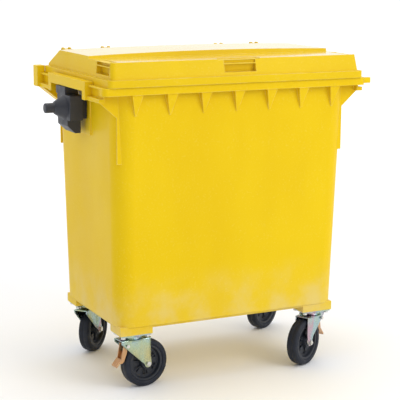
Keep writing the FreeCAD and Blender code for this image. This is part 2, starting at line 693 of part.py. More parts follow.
def corner_gusset():
    """Hollow slanted gusset that carries the right rear corner post, open at its top."""
    lip_foot = "rim_top - rim_drop"
    span = "corner_gusset_rear - corner_gusset_front"
    outside = outline("corner_gusset_outline", "xz", "corner_gusset_rear", [
        ("rib_reach - skin", "gusset_foot"),
        ("rib_reach", "gusset_foot"),
        ("corner_gusset_reach", "corner_gusset_top"),
        ("corner_gusset_reach", f"{lip_foot} + 2"),
        ("rib_reach - skin", f"{lip_foot} + 2"),
    ])
    inside = outline("corner_gusset_room_outline", "xz", "corner_gusset_rear - skin", [
        ("rib_reach", "gusset_foot + 1.3 * skin"),
        ("corner_gusset_reach - skin", "corner_gusset_top + 0.3 * skin"),
        ("corner_gusset_reach - skin", f"{lip_foot} + 3"),
        ("rib_reach", f"{lip_foot} + 3"),
    ])
    shell = cut("corner_gusset_shell",
                extrude("corner_gusset_full", outside, Vector(0, -1, 0), span),
                extrude("corner_gusset_room", inside, Vector(0, -1, 0), f"{span} - 2 * skin"))
    inner_wall = block("corner_gusset_wall", ("rib_reach - skin", "rib_reach"),
                       ("corner_gusset_front", "corner_gusset_rear"),
                       ("gusset_foot", "rim_top - collar_band + 2"))
    return fuse("corner_gusset", [shell, inner_wall])


def hinge_places():
    """Formulas for the four hinges' positions across the container."""
    return [(f"{side}_{depth}", f"{sign}hinge_{depth}")
            for side, sign in (("left", "-"), ("right", ""))
            for depth in ("outer", "inner")]


def hinge_bearing(mark, middle):
    """Upright behind the rim that carries a hinge rod."""
    corners = [
        ("hinge_y - knuckle", "rim_top - collar_band"),
        ("collar_rear", "rim_top - collar_band"),
        ("hinge_y + knuckle", "rim_top + bearing_shoulder"),
        ("hinge_y + knuckle", "hinge_z"),
        ("hinge_y - knuckle", "hinge_z"),
    ]
    sketch = outline(f"bearing_outline_{mark}", "yz", f"{middle} - bearing_half", corners)
    upright = extrude(f"bearing_upright_{mark}", sketch, X_AXIS, "2 * bearing_half")
    eye = rod(f"bearing_eye_{mark}", "knuckle", "2 * bearing_half",
              (f"{middle} - bearing_half", "hinge_y", "hinge_z"), "x")
    return fuse(f"bearing_{mark}", [upright, eye])


CASTORS = [
    ("front_left", "-castor_x", "-castor_y"),
    ("front_right", "castor_x", "-castor_y"),
    ("rear_left", "-castor_x", "castor_y"),
    ("rear_right", "castor_x", "castor_y"),
]


def bolt_spots(x, y):
    """Centres of the four bolts of the castor at x, y."""
    return [(f"{x} + {i} * bolt_x", f"{y} + {j} * bolt_y") for i in (-1, 1) for j in (-1, 1)]


def screw_spots():
    """Y and Z of the four screws of a trunnion bracket."""
    return [(f"{i} * screw_y", f"screw_z + {j} * screw_rise") for i in (-1, 1) for j in (-1, 1)]


def make_tub():
    """One moulding: walls, floor, collar, comb, rims, ribs, hinge bearings and castor pads."""
    trunnion_seat = block("trunnion_seat", ("top_half - seat_root", "seat_face"),
                          ("-block_half - seat_margin", "block_half + seat_margin"),
                          ("heel_foot - seat_margin", "rim_top - 1"))
    right = fuse("right_side", [
        side_rim(),
        corner_rib("front_rib", "-rib_front"),
        corner_rib("rear_rib", "rib_rear"),
        corner_gusset(),
        trunnion_seat,
    ])
    left = mirrored("left_side", right)
    end_lug = block("end_lug", ("collar_half - lug_root", "collar_half + lug_reach"),
                    ("-collar_front + lug_setback", "-collar_front + lug_setback + lug_length"),
                    ("rim_top - 1 - lug_height", "rim_top - 1"))
    pads = [
        block(f"pad_{mark}", (f"{x} - pad_length / 2", f"{x} + pad_length / 2"),
              (f"{y} - pad_width / 2", f"{y} + pad_width / 2"), ("castor_height", "floor_base + foot_bevel"))
        for mark, x, y in CASTORS
    ]
    bearings = [hinge_bearing(mark, middle) for mark, middle in hinge_places()]
    solid = fuse("tub_solid", [body_walls(), collar(), right, left, end_lug] + comb() + pads + bearings)
    bores = [
        rod(f"pad_bore_{mark}_{number}", "bolt_radius", "bolt_depth + 1", (bx, by, "castor_height - 1"))
        for mark, x, y in CASTORS
        for number, (bx, by) in enumerate(bolt_spots(x, y), start=1)
    ]
    bores += [
        rod(f"bearing_bore_{mark}", "rod_radius", "2 * bearing_half + 2",
            (f"{middle} - bearing_half - 1", "hinge_y", "hinge_z"), "x")
        for mark, middle in hinge_places()
    ]
    for number, (y, z) in enumerate(screw_spots(), start=1):
        bore = rod(f"screw_bore_{number}", "screw_radius", "seat_face - inner_pad + 2",
                   ("inner_pad - 1", y, z), "x")
        bores += [bore, mirrored(f"screw_bore_left_{number}", bore)]
    screw_pad = block("screw_pad", ("inner_pad", "seat_face - 1"), ("-neck_half", "neck_half"),
                      ("neck_foot", "neck_head"))
    open_body = cut("tub_walls", solid, body_room())
    padded = fuse("tub_padded", [open_body, screw_pad, mirrored("screw_pad_left", screw_pad)])
    named("tub", cut("tub_moulding", padded, fuse("tub_bores", bores)))


# Lid

def hood(mark, inset):
    """Raised part of the lid, drawn in by an inset: two level panels and a slope to the hinges."""
    base = "skirt_top - lid_skin - 1"
    rise = f"(rear_panel - ({base}))"
    sides = loft(f"hood_sides_{mark}", [
        plan(f"hood_base_{mark}", base, f"hood_half - {inset}", f"hood_front - {inset}",
             f"hood_rear - {inset}", f"hood_corner - {inset}"),
        plan(f"hood_crest_{mark}", f"{base} + {rise}", f"hood_half - hood_draft - {inset}",
             f"hood_front - hood_front_draft - {inset}", f"hood_rear - {inset}", f"hood_corner - {inset}"),
    ])
    corners = [
        ("-skirt_front", base),
        ("-skirt_front", f"front_panel - {inset}"),
        (f"-riser_front + {inset}", f"front_panel - front_panel_fall - {inset}"),
        (f"-riser_front + riser_lean + {inset}", f"rear_panel - {inset}"),
        (f"slope_start - {inset} / 3", f"rear_panel - {inset}"),
        ("skirt_rear", f"slope_foot - {inset}"),
        ("skirt_rear", base),
    ]
    side_view = extrude(f"hood_side_{mark}", outline(f"hood_outline_{mark}", "yz", "-skirt_half", corners),
                        X_AXIS, "2 * skirt_half")
    radius = "((hood_half * hood_half + panel_crown * panel_crown) / (2 * panel_crown))"
    crown = rod(f"hood_crown_{mark}", radius, "2 * skirt_front",
                (0, "-skirt_front", f"rear_panel - {inset} - {radius}"), "y")
    return common(f"hood_{mark}", common(f"hood_levels_{mark}", sides, side_view), crown)


def skirt(mark, inset, base):
    """Low flat band round the lid, drawn in by an inset."""
    sketch = plan(f"skirt_plan_{mark}", base, f"skirt_half - {inset}", f"skirt_front - {inset}",
                  f"skirt_rear - {inset}", f"skirt_corner - {inset}")
    return extrude(f"skirt_{mark}", sketch, Z_AXIS, f"skirt_top - {inset} - ({base})")


def front_pull(mark, margin):
    """Hollow of the front grip, grown by a margin for the wall behind it."""
    hollow = block(f"pull_hollow_{mark}", (f"-pull_half - {margin}", f"pull_half + {margin}"),
                   ("-skirt_front - 1", f"pull_depth - hood_front + pull_lean + {margin}"),
                   (f"pull_floor - {margin}", f"pull_lip + {margin}"))
    groove = block(f"pull_groove_{mark}", (f"-pull_half - {margin}", f"pull_half + {margin}"),
                   ("-skirt_front - 1", f"pull_groove - hood_front + groove_lean + {margin}"),
                   (f"pull_lip + pull_lip_height - {margin}", f"pull_top + {margin}"))
    return [hollow, groove]


def side_pull(mark, margin):
    """Hollow of the right side grip, grown by a margin."""
    along = (f"-side_pull_y - side_pull_half - {margin}", f"-side_pull_y + side_pull_half + {margin}")
    hollow = block(f"side_pull_hollow_{mark}",
                   (f"hood_half - pull_depth - {margin}", "skirt_half + 1"), along,
                   (f"pull_floor - {margin}", f"pull_lip + {margin}"))
    groove = block(f"side_pull_groove_{mark}",
                   (f"hood_half - groove_side_lean - pull_groove - {margin}", "skirt_half + 1"), along,
                   (f"pull_lip + pull_lip_height - {margin}", f"pull_top + {margin}"))
    return [hollow, groove]


def dishes(mark, margin):
    """Shallow finger dishes in the front panel above the front grip and the right side grip."""
    height = (f"front_panel - pull_dish - front_panel_fall / 4 - {margin}", "front_panel + 1")
    front_end = "pull_dish_length - hood_front + hood_front_draft - dish_setback"
    front = block(f"front_dish_{mark}", (f"-pull_dish_half - {margin}", f"pull_dish_half + {margin}"),
                  ("-skirt_front", f"{front_end} + {margin}"), height)
    side = block(f"side_dish_{mark}",
                 (f"hood_half - hood_draft - pull_dish_length - {margin}", "skirt_half"),
                 (f"-side_pull_y - side_pull_half - {margin}",
                  f"-side_pull_y + side_pull_half + side_dish_extra + {margin}"), height)
    return [front, side]


def slope_height(y):
    """Height of the lid's rear slope at a distance behind the centre."""
    return f"(rear_panel - ({y} - slope_start) * (rear_panel - slope_foot) / (skirt_rear - slope_start))"


def lid_ears(middle, mark):
    """Pair of ears on the lid, one each side of a hinge bearing."""
    corners = [
        ("ear_start", f"{slope_height('ear_start')} - lid_skin / 2"),
        ("skirt_rear - ear", f"{slope_height('(skirt_rear - ear)')} - lid_skin / 2"),
        ("hinge_y", "hinge_z - knuckle"),
        ("hinge_y", "hinge_z + knuckle"),
        ("ear_start + knuckle", "hinge_z + knuckle"),
    ]
    ears = []
    for side in (-1, 1):
        near = f"{middle} + {side} * (bearing_half + ear_gap)"
        far = f"{middle} + {side} * (bearing_half + ear_gap + ear)"
        low = far if side < 0 else near
        tag = f"{mark}_{side + 2}"
        arm = extrude(f"ear_arm_{tag}", outline(f"ear_outline_{tag}", "yz", low, corners), X_AXIS, "ear")
        eye = rod(f"ear_eye_{tag}", "knuckle", "ear", (low, "hinge_y", "hinge_z"), "x")
        ears += [arm, eye]
    return ears


def make_lid():
    """One moulding: skirt, two-level hood, three grips and four pairs of hinge ears."""
    base = "rim_top + lid_gap"
    outside = fuse("lid_outside", [skirt("outer", "0", base), hood("outer", "0")])
    right_tools = side_pull("cut", "0")
    tools = front_pull("cut", "0") + right_tools + dishes("cut", "0")
    side_tools = right_tools + [doc.getObject("side_dish_cut")]
    left_tools = [mirrored(f"left_{tool.Name}", tool) for tool in side_tools]
    shaped = cut("lid_shaped", outside, fuse("lid_tools", tools + left_tools))
    ears = [ear for mark, middle in hinge_places() for ear in lid_ears(middle, mark)]
    eared = fuse("lid_eared", [shaped] + ears)
    room = fuse("lid_room", [skirt("inner", "lid_skin", f"{base} - 1"), hood("inner", "lid_skin")])
    right_liner = side_pull("liner", "lid_skin")
    liner = front_pull("liner", "lid_skin") + right_liner + dishes("liner", "lid_skin")
    side_liner = right_liner + [doc.getObject("side_dish_liner")]
    left_liner = [mirrored(f"left_{tool.Name}", tool) for tool in side_liner]
    bores = [
        rod(f"ear_bore_{mark}", "rod_radius + running", "2 * (bearing_half + ear_gap + ear) + 2",
            (f"{middle} - bearing_half - ear_gap - ear - 1", "hinge_y", "hinge_z"), "x")
        for mark, middle in hinge_places()
    ]
    hollow = cut("lid_hollow", room, fuse("lid_liner", liner + left_liner))
    named("lid", cut("lid_moulding", eared, fuse("lid_hollows", [hollow] + bores)))


def make_hinge_rods():
    """One headed rod through each pair of hinges."""
    reach = "bearing_half + ear_gap + ear + ear_gap"
    for mark, sign in (("left", -1), ("right", 1)):
        low = f"{sign} * (hinge_outer + hinge_inner) / 2 - ((hinge_outer - hinge_inner) / 2 + {reach})"
        length = f"hinge_outer - hinge_inner + 2 * ({reach})"
        shaft = rod(f"rod_shaft_{mark}", "rod_radius", length, (low, "hinge_y", "hinge_z"), "x")
        heads = [
            rod(f"rod_head_{mark}_{end}", "rod_head_radius", "rod_head", (start, "hinge_y", "hinge_z"), "x")
            for end, start in (("low", f"{low} - rod_head"), ("high", f"{low} + {length}"))
        ]
        named(f"hinge_rod_{mark}", fuse(f"rod_{mark}", [shaft] + heads))


# Trunnions: the pins that a lifting vehicle takes the container by

def make_trunnions():
    """Bracket and the screws that hold it from inside, modelled on the right, turned for the left."""
    for mark, turn in (("right", 0), ("left", 180)):
        side_turn = FreeCAD.Rotation(Z_AXIS, turn)
        back = "seat_face + neck"
        neck = block(f"trunnion_neck_{mark}", ("seat_face", back), ("-neck_half", "neck_half"),
                     ("neck_foot", "neck_head"))
        body = block(f"trunnion_block_{mark}", (back, "cone_start"), ("-block_half", "block_half"),
                     ("block_foot", "block_head"))
        spine = block(f"trunnion_spine_{mark}", (back, "cone_start"), ("-spine_far", "spine_near"),
                      ("block_head - 1", "spine_head"))
        corners = [
            (back, "block_foot + 1"),
            ("cone_start", "block_foot + 1"),
            ("cone_start", "heel_shoulder"),
            ("cone_start - heel_slope", "heel_foot"),
            (back, "heel_foot"),
        ]
        heel = extrude(f"trunnion_heel_{mark}", outline(f"heel_outline_{mark}", "xz", "heel_near", corners),
                       Vector(0, -1, 0), "heel_near + heel_far")
        cone = taper(f"trunnion_cone_{mark}", "cone_radius", "cone_nose", "cone_end - cone_start",
                     ("cone_start", 0, "trunnion_z"), "x")
        pin = rod(f"trunnion_pin_{mark}", "pin_radius", "pin_tip - pin_chamfer - cone_start",
                  ("cone_start", 0, "trunnion_z"), "x")
        nose = taper(f"trunnion_nose_{mark}", "pin_radius", "pin_radius - pin_chamfer", "pin_chamfer",
                     ("pin_tip - pin_chamfer", 0, "trunnion_z"), "x")
        solid = fuse(f"trunnion_solid_{mark}", [neck, body, spine, heel, cone, pin, nose])
        bores = [
            rod(f"trunnion_bore_{mark}_{number}", "screw_radius", "screw_grip + 1",
                ("seat_face - 1", y, z), "x")
            for number, (y, z) in enumerate(screw_spots(), start=1)
        ]
        bracket = cut(f"bracket_{mark}", solid, fuse(f"trunnion_bores_{mark}", bores))
        named(f"trunnion_bracket_{mark}", move_to(bracket, rotation=side_turn))
        screws = []
        for number, (y, z) in enumerate(screw_spots(), start=1):
            shank = rod(f"screw_shank_{mark}_{number}", "screw_radius", "seat_face - inner_pad + screw_grip",
                        ("inner_pad", y, z), "x")
            head = hexagon(f"screw_head_{mark}_{number}", "screw_head_radius", "screw_head",
                           ("inner_pad - screw_head", y, z), "x")
            screws.append(fuse(f"screw_{mark}_{number}", [shank, head]))
        named(f"trunnion_screws_{mark}", move_to(group(f"screws_{mark}", screws), rotation=side_turn))


# Castors: modelled with the swivel axis on Z and the wheel trailing towards +X, then turned into place

CROWN_TOP = "(castor_height - top_thickness - race_height - swivel_gap)"


def castor_plate(mark, x, y):
    """Pressed top plate with its bolts, ball race and kingpin, which stay with the container."""
    under = "castor_height - top_thickness"
    sheet_steel = block(f"top_sheet_{mark}", (f"{x} - top_length / 2", f"{x} + top_length / 2"),
                        (f"{y} - top_width / 2", f"{y} + top_width / 2"), (under, "castor_height"))
    holes = [
        rod(f"top_hole_{mark}_{number}", "bolt_radius", "top_thickness + 2", (bx, by, f"{under} - 1"))
        for number, (bx, by) in enumerate(bolt_spots(x, y), start=1)
    ]
    holes.append(rod(f"top_centre_{mark}", "kingpin_radius", "top_thickness + 2", (x, y, f"{under} - 1")))
    named(f"castor_plate_{mark}", cut(f"top_plate_{mark}", sheet_steel, fuse(f"top_holes_{mark}", holes)))

    bolts = []
    for number, (bx, by) in enumerate(bolt_spots(x, y), start=1):
        shank = rod(f"bolt_shank_{mark}_{number}", "bolt_radius", "top_thickness + bolt_depth",
                    (bx, by, under))
        head = hexagon(f"bolt_head_{mark}_{number}", "bolt_head_radius", "bolt_head",
                       (bx, by, f"{under} - bolt_head"))
        bolts.append(fuse(f"bolt_{mark}_{number}", [shank, head]))
    named(f"castor_bolts_{mark}", group(f"bolts_{mark}", bolts))

    ring = rod(f"race_ring_{mark}", "race_radius", "race_height", (x, y, f"{under} - race_height"))
    bore = rod(f"race_bore_{mark}", "kingpin_radius", "race_height + 2",
               (x, y, f"{under} - race_height - 1"))
    named(f"ball_race_{mark}", cut(f"race_{mark}", ring, bore))

    head_top = f"{CROWN_TOP} - crown - swivel_gap"
    shaft = rod(f"kingpin_shaft_{mark}", "kingpin_radius", f"castor_height - ({head_top}) + 1",
                (x, y, f"{head_top} - 1"))
    head = hexagon(f"kingpin_nut_{mark}", "kingpin_head_radius", "kingpin_head",
                   (x, y, f"{head_top} - kingpin_head"))
    named(f"kingpin_{mark}", fuse(f"king_{mark}", [shaft, head]))


def castor_fork(mark, x, y, turn):
    """Pressed fork: crown and two legs that carry the axle."""
    crown = block(f"crown_{mark}", ("-fork_front", "fork_rear"), ("-fork_half", "fork_half"),
                  (f"{CROWN_TOP} - crown", CROWN_TOP))
    disc = rod(f"crown_disc_{mark}", "race_radius + crown_rim", "crown", (0, 0, f"{CROWN_TOP} - crown"))
    leg_corners = [
        ("-fork_front", f"{CROWN_TOP} - crown / 2"),
        ("-fork_front", "fork_lead"),
        ("trail - fork_eye", "wheel_radius - leg_foot"),
        ("fork_rear", "wheel_radius - leg_foot"),
        ("fork_rear", f"{CROWN_TOP} - crown / 2"),
    ]
    legs = []
    for side, face in (("near", "-fork_half + fork_skin"), ("far", "fork_half")):
        sketch = outline(f"leg_outline_{side}_{mark}", "xz", face, leg_corners)
        legs.append(extrude(f"leg_{side}_{mark}", sketch, Vector(0, -1, 0), "fork_skin"))
        legs.append(rod(f"leg_eye_{side}_{mark}", "fork_eye", "fork_skin",
                        ("trail", f"{face} - fork_skin", "wheel_radius"), "y"))
    solid = fuse(f"fork_solid_{mark}", [crown, disc] + legs)
    bores = [
        rod(f"fork_pivot_{mark}", "kingpin_radius + running", "crown + 2",
            (0, 0, f"{CROWN_TOP} - crown - 1")),
        rod(f"fork_axle_{mark}", "axle_radius", "2 * fork_half + 2",
            ("trail", "-fork_half - 1", "wheel_radius"), "y"),
    ]
    if mark in BRAKED:
        bores.append(rod(f"fork_pedal_{mark}", "pedal_pin_radius", "2 * fork_half + 2",
                         ("-pedal_pivot_x", "-fork_half - 1", "pedal_pivot_z"), "y"))
    fork = cut(f"fork_part_{mark}", solid, fuse(f"fork_bores_{mark}", bores))
    named(f"fork_{mark}", move_to(fork, x, y, 0, turn))

    shaft = rod(f"axle_shaft_{mark}", "axle_radius", "2 * fork_half + axle_head + axle_tail",
                ("trail", "-fork_half", "wheel_radius"), "y")
    head = hexagon(f"axle_head_{mark}", "axle_head_radius", "axle_head",
                   ("trail", "-fork_half - axle_head", "wheel_radius"), "y")
    nut = hexagon(f"axle_nut_{mark}", "axle_head_radius", "axle_head",
                  ("trail", "fork_half", "wheel_radius"), "y")
    named(f"axle_bolt_{mark}", move_to(fuse(f"axle_{mark}", [shaft, head, nut]), x, y, 0, turn))


def castor_wheel(mark, x, y, yaw, turn):
    """Tyre, pierced rim and bearing sleeve about the axle."""
    place = (f"{x} + trail * cos({yaw} * 1 deg)", f"{y} + trail * sin({yaw} * 1 deg)", "wheel_radius")
    axle_turn = turn.multiply(FreeCAD.Rotation(Z_AXIS, 90))

    tyre = turned(f"tyre_{mark}", [
        ("-rim_half", "tyre_seat"),
        ("-tyre_half", "tyre_seat + tyre_bead"),
        ("-tyre_half", "wheel_radius"),
        ("tyre_half", "wheel_radius"),
        ("tyre_half", "tyre_seat + tyre_bead"),
        ("rim_half", "tyre_seat"),
    ], rounded=("wheel_radius", "tyre_round"))
    named(f"tyre_{mark}", move_to(tyre, *place, axle_turn))

    blank = turned(f"rim_blank_{mark}", [
        ("-hub_half", "sleeve_radius"),
        ("-hub_half", "hub_radius"),
        ("-web_half", "hub_radius + rim_draft"),
        ("-web_half", "rim_inner - rim_draft"),
        ("-rim_half", "rim_inner"),
        ("-rim_half", "tyre_seat"),
        ("rim_half", "tyre_seat"),
        ("rim_half", "rim_inner"),
        ("web_half", "rim_inner - rim_draft"),
        ("web_half", "hub_radius + rim_draft"),
        ("hub_half", "hub_radius"),
        ("hub_half", "sleeve_radius"),
    ])
    windows = []
    for step in range(6):
        sketch = outline(f"rim_window_outline_{mark}_{step}", "yz", 0, [
            ("-window_inner_half", "window_inner"),
            ("-window_outer_half", "window_outer"),
            ("window_outer_half", "window_outer"),
            ("window_inner_half", "window_inner"),
        ])
        window = extrude(f"rim_window_{mark}_{step}", sketch, X_AXIS, "2 * rim_half")
        move_to(window, "-rim_half", 0, 0)
        window.Placement.Rotation = FreeCAD.Rotation(X_AXIS, 60 * step)
        windows.append(window)
    rim = cut(f"rim_part_{mark}", blank, fuse(f"rim_windows_{mark}", windows))
    named(f"rim_{mark}", move_to(rim, *place, axle_turn))

    sleeve = turned(f"wheel_bearing_{mark}", [
        ("-sleeve_half", "axle_radius + running"),
        ("-sleeve_half", "sleeve_radius"),
        ("sleeve_half", "sleeve_radius"),
        ("sleeve_half", "axle_radius + running"),
    ])
    named(f"wheel_bearing_{mark}", move_to(sleeve, *place, axle_turn))


def tread_corner(along, through):
    """Corner of the pedal tread's side view, from its middle."""
    turn = "tread_tilt * 1 deg"
    x = f"-tread_x + {along} * tread_half * cos({turn}) - {through} * tread_thickness / 2 * sin({turn})"
    z = f"tread_z + {along} * tread_half * sin({turn}) + {through} * tread_thickness / 2 * cos({turn})"
    return (x, z)


def before_tyre(angle):
    """Point a little clear of the tyre, at an angle above the axle in front of the wheel."""
    reach = "(wheel_radius + shoe_gap + 1)"
    return (f"trail - {reach} * cos({angle} * 1 deg)", f"wheel_radius + {reach} * sin({angle} * 1 deg)")


def castor_brake(mark, x, y, turn):
    """Foot pedal hung on a pin through the fork, with a shoe that meets the tyre."""
    tread_top = tread_corner(1, 1)
    arm_corners = [
        ("-pedal_pivot_x + pedal_eye", "pedal_pivot_z + pedal_eye"),
        ("-pedal_pivot_x - pedal_eye", "pedal_pivot_z + pedal_eye"),
        tread_top,
        ("-tread_x", "tread_z"),
        ("-tread_x + arm_foot", "tread_z - tread_thickness / 2"),
        before_tyre("arm_low_angle"),
        before_tyre("arm_high_angle"),
        ("-pedal_pivot_x + pedal_eye", "pedal_pivot_z - pedal_eye"),
    ]
    arms = []
    for side, face in (("near", "-pedal_half + pedal_arm"), ("far", "pedal_half")):
        sketch = outline(f"arm_outline_{side}_{mark}", "xz", face, arm_corners)
        arms.append(extrude(f"arm_{side}_{mark}", sketch, Vector(0, -1, 0), "pedal_arm"))
    tread_corners = [tread_corner(-1, -1), tread_corner(1, -1), tread_top, tread_corner(-1, 1)]
    tread = extrude(f"tread_{mark}", outline(f"tread_outline_{mark}", "xz", "pedal_half", tread_corners),
                    Vector(0, -1, 0), "2 * pedal_half")
    bore = rod(f"pedal_bore_{mark}", "pedal_pin_radius + running", "2 * fork_half",
               ("-pedal_pivot_x", "-fork_half", "pedal_pivot_z"), "y")
    pedal = cut(f"pedal_part_{mark}", fuse(f"pedal_solid_{mark}", arms + [tread]), bore)
    named(f"brake_pedal_{mark}", move_to(pedal, x, y, 0, turn))

    shaft = rod(f"pedal_pin_shaft_{mark}", "pedal_pin_radius", "2 * fork_half",
                ("-pedal_pivot_x", "-fork_half", "pedal_pivot_z"), "y")
    heads = [
        rod(f"pedal_pin_head_{side}_{mark}", "pedal_pin_radius + pedal_pin_flange", "pedal_pin_head",
            ("-pedal_pivot_x", start, "pedal_pivot_z"), "y")
        for side, start in (("near", "-fork_half - pedal_pin_head"), ("far", "fork_half"))
    ]
    named(f"pedal_pin_{mark}", move_to(fuse(f"pedal_pin_part_{mark}", [shaft] + heads), x, y, 0, turn))

    inner = "wheel_radius + shoe_gap"
    half = "pedal_half - pedal_arm"
    ring = cut(f"shoe_ring_{mark}",
               rod(f"shoe_outer_{mark}", f"{inner} + shoe_thickness", f"2 * ({half})",
                   ("trail", f"-({half})", "wheel_radius"), "y"),
               rod(f"shoe_inner_{mark}", inner, f"2 * ({half}) + 2",
                   ("trail", f"-({half}) - 1", "wheel_radius"), "y"))
    sector = block(f"shoe_sector_{mark}", ("-tread_x", "-pedal_pivot_x + pedal_eye + 2"),
                   (f"-({half})", half), ("wheel_radius + shoe_low", "wheel_radius + shoe_high"))
    shoe = common(f"shoe_part_{mark}", ring, sector)
    named(f"brake_shoe_{mark}", move_to(shoe, x, y, 0, turn))


BRAKED = ("front_left", "front_right")


def make_castors():
    """Four swivel castors, the front two with a foot brake."""
    for mark, x, y in CASTORS:
        yaw = f"yaw_{mark}"
        turn = FreeCAD.Rotation(Z_AXIS, value(yaw))
        castor_plate(mark, x, y)
        castor_fork(mark, x, y, turn)
        castor_wheel(mark, x, y, yaw, turn)
        if mark in BRAKED:
            castor_brake(mark, x, y, turn)


make_tub()
make_lid()
make_hinge_rods()
make_trunnions()
make_castors()
doc.recompute()

for item in doc.Objects:
    if "Invalid" in item.State or "Error" in item.State:
        raise RuntimeError(f"{item.Name} failed: {item.State}")
for item in pieces:
    if item.Shape.isNull() or not item.Shape.isValid() or not item.Shape.Solids:
        raise RuntimeError(f"{item.Label} has no valid solid")

os.makedirs("parts", exist_ok=True)
for item in pieces:
    item.Shape.exportStep(f"parts/{item.Label}.step")
    print(item.Label, len(item.Shape.Solids), round(item.Shape.Volume / 1000, 1), "cm3")
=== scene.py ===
import json
import math
import bmesh
import bpy
from mathutils import Matrix, Vector


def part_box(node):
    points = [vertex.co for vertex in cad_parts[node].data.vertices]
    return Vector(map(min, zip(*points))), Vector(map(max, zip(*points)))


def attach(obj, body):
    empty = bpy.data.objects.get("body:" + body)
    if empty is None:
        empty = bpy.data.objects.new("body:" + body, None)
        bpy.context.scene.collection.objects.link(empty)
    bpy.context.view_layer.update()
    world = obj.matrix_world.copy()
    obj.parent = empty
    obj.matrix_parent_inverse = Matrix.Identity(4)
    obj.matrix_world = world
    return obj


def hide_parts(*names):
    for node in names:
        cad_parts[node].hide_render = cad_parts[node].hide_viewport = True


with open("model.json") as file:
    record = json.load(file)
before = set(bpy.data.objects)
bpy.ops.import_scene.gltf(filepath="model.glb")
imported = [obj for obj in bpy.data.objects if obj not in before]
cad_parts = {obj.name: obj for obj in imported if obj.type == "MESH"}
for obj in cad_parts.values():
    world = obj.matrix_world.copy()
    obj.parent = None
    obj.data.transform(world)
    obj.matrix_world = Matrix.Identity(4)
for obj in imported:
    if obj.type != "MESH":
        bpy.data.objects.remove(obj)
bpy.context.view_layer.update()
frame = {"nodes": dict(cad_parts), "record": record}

MARKS = ("front_left", "front_right", "rear_left", "rear_right")
BRAKED = ("front_left", "front_right")
MM = 0.001

nodes = frame["nodes"]
joint_facts = {joint["name"]: joint for joint in frame["record"]["behaviour"]["joints"]}


# ---------------------------------------------------------------- material tools

class Shade:
    """A material's node tree with short calls for the nodes that these materials share."""

    def __init__(self, name, base, roughness, metallic=0.0):
        self.material = bpy.data.materials.new(name)
        self.material.use_nodes = True
        self.tree = self.material.node_tree
        self.shader = self.tree.nodes["Principled BSDF"]
        self.shader.inputs["Base Color"].default_value = (*base, 1)
        self.shader.inputs["Roughness"].default_value = roughness
        self.shader.inputs["Metallic"].default_value = metallic
        self.base = (*base, 1)
        coordinates = self.add("ShaderNodeTexCoord")
        self.place = coordinates.outputs["Object"]
        self.facing = coordinates.outputs["Normal"]

    def add(self, kind, **settings):
        node = self.tree.nodes.new(kind)
        for name, setting in settings.items():
            setattr(node, name, setting)
        return node

    def put(self, socket, source):
        """Set a socket to a number, or link it to another socket."""
        if isinstance(source, bpy.types.NodeSocket):
            self.tree.links.new(source, socket)
        else:
            socket.default_value = source

    def stretched(self, x, y, z):
        node = self.add("ShaderNodeMapping")
        self.put(node.inputs["Vector"], self.place)
        node.inputs["Scale"].default_value = (x, y, z)
        return node.outputs["Vector"]

    def noise(self, scale, detail=3.0, roughness=0.55, place=None):
        node = self.add("ShaderNodeTexNoise")
        self.put(node.inputs["Vector"], place or self.place)
        node.inputs["Scale"].default_value = scale
        node.inputs["Detail"].default_value = detail
        node.inputs["Roughness"].default_value = roughness
        return node.outputs["Fac"]

    def ranged(self, source, low, high, first, last):
        node = self.add("ShaderNodeMapRange", interpolation_type="SMOOTHSTEP")
        self.put(node.inputs["Value"], source)
        for name, setting in (("From Min", low), ("From Max", high), ("To Min", first), ("To Max", last)):
            node.inputs[name].default_value = setting
        return node.outputs["Result"]

    def maths(self, operation, first, second):
        node = self.add("ShaderNodeMath", operation=operation)
        self.put(node.inputs[0], first)
        self.put(node.inputs[1], second)
        return node.outputs["Value"]

    def mixed(self, amount, first, second):
        node = self.add("ShaderNodeMix", data_type="RGBA")
        self.put(node.inputs["Factor"], amount)
        self.put(node.inputs["A"], first)
        self.put(node.inputs["B"], second)
        return node.outputs["Result"]

    def ramp(self, source, stops):
        node = self.add("ShaderNodeValToRGB")
        self.put(node.inputs["Fac"], source)
        ramp = node.color_ramp
        while len(ramp.elements) < len(stops):
            ramp.elements.new(0.5)
        for element, (place, colour) in zip(ramp.elements, stops):
            element.position = place
            element.color = (*colour, 1)
        return node.outputs["Color"]

    def height(self):
        node = self.add("ShaderNodeSeparateXYZ")
        self.put(node.inputs["Vector"], self.place)
        return node.outputs["Z"]

    def edges(self, radius):
        """1 along outward and inward edges and 0 on flat faces, from a rounded normal."""
        rounded = self.add("ShaderNodeBevel", samples=4)
        rounded.inputs["Radius"].default_value = radius
        plain = self.add("ShaderNodeNewGeometry")
        product = self.add("ShaderNodeVectorMath", operation="DOT_PRODUCT")
        self.put(product.inputs[0], rounded.outputs["Normal"])
        self.put(product.inputs[1], plain.outputs["Normal"])
        return self.ranged(product.outputs["Value"], 0.99, 0.8, 0.0, 1.0)

    def bump(self, source, distance, strength=1.0, below=None):
        node = self.add("ShaderNodeBump")
        self.put(node.inputs["Height"], source)
        node.inputs["Distance"].default_value = distance
        node.inputs["Strength"].default_value = strength
        if below:
            self.put(node.inputs["Normal"], below)
        return node.outputs["Normal"]

    def finish(self, colour=None, roughness=None, normal=None):
        for name, source in (("Base Color", colour), ("Roughness", roughness), ("Normal", normal)):
            if source:
                self.put(self.shader.inputs[name], source)
        return self.material


FOOT_PALE = (0.70, 0.62, 0.40, 1)
FOOT_PALE_TOP = 0.52
FOOT_PALE_FULL = 0.25
EDGE_ROUNDING = 2.2 * MM
GLAZE_BLEND = 0.2 * MM


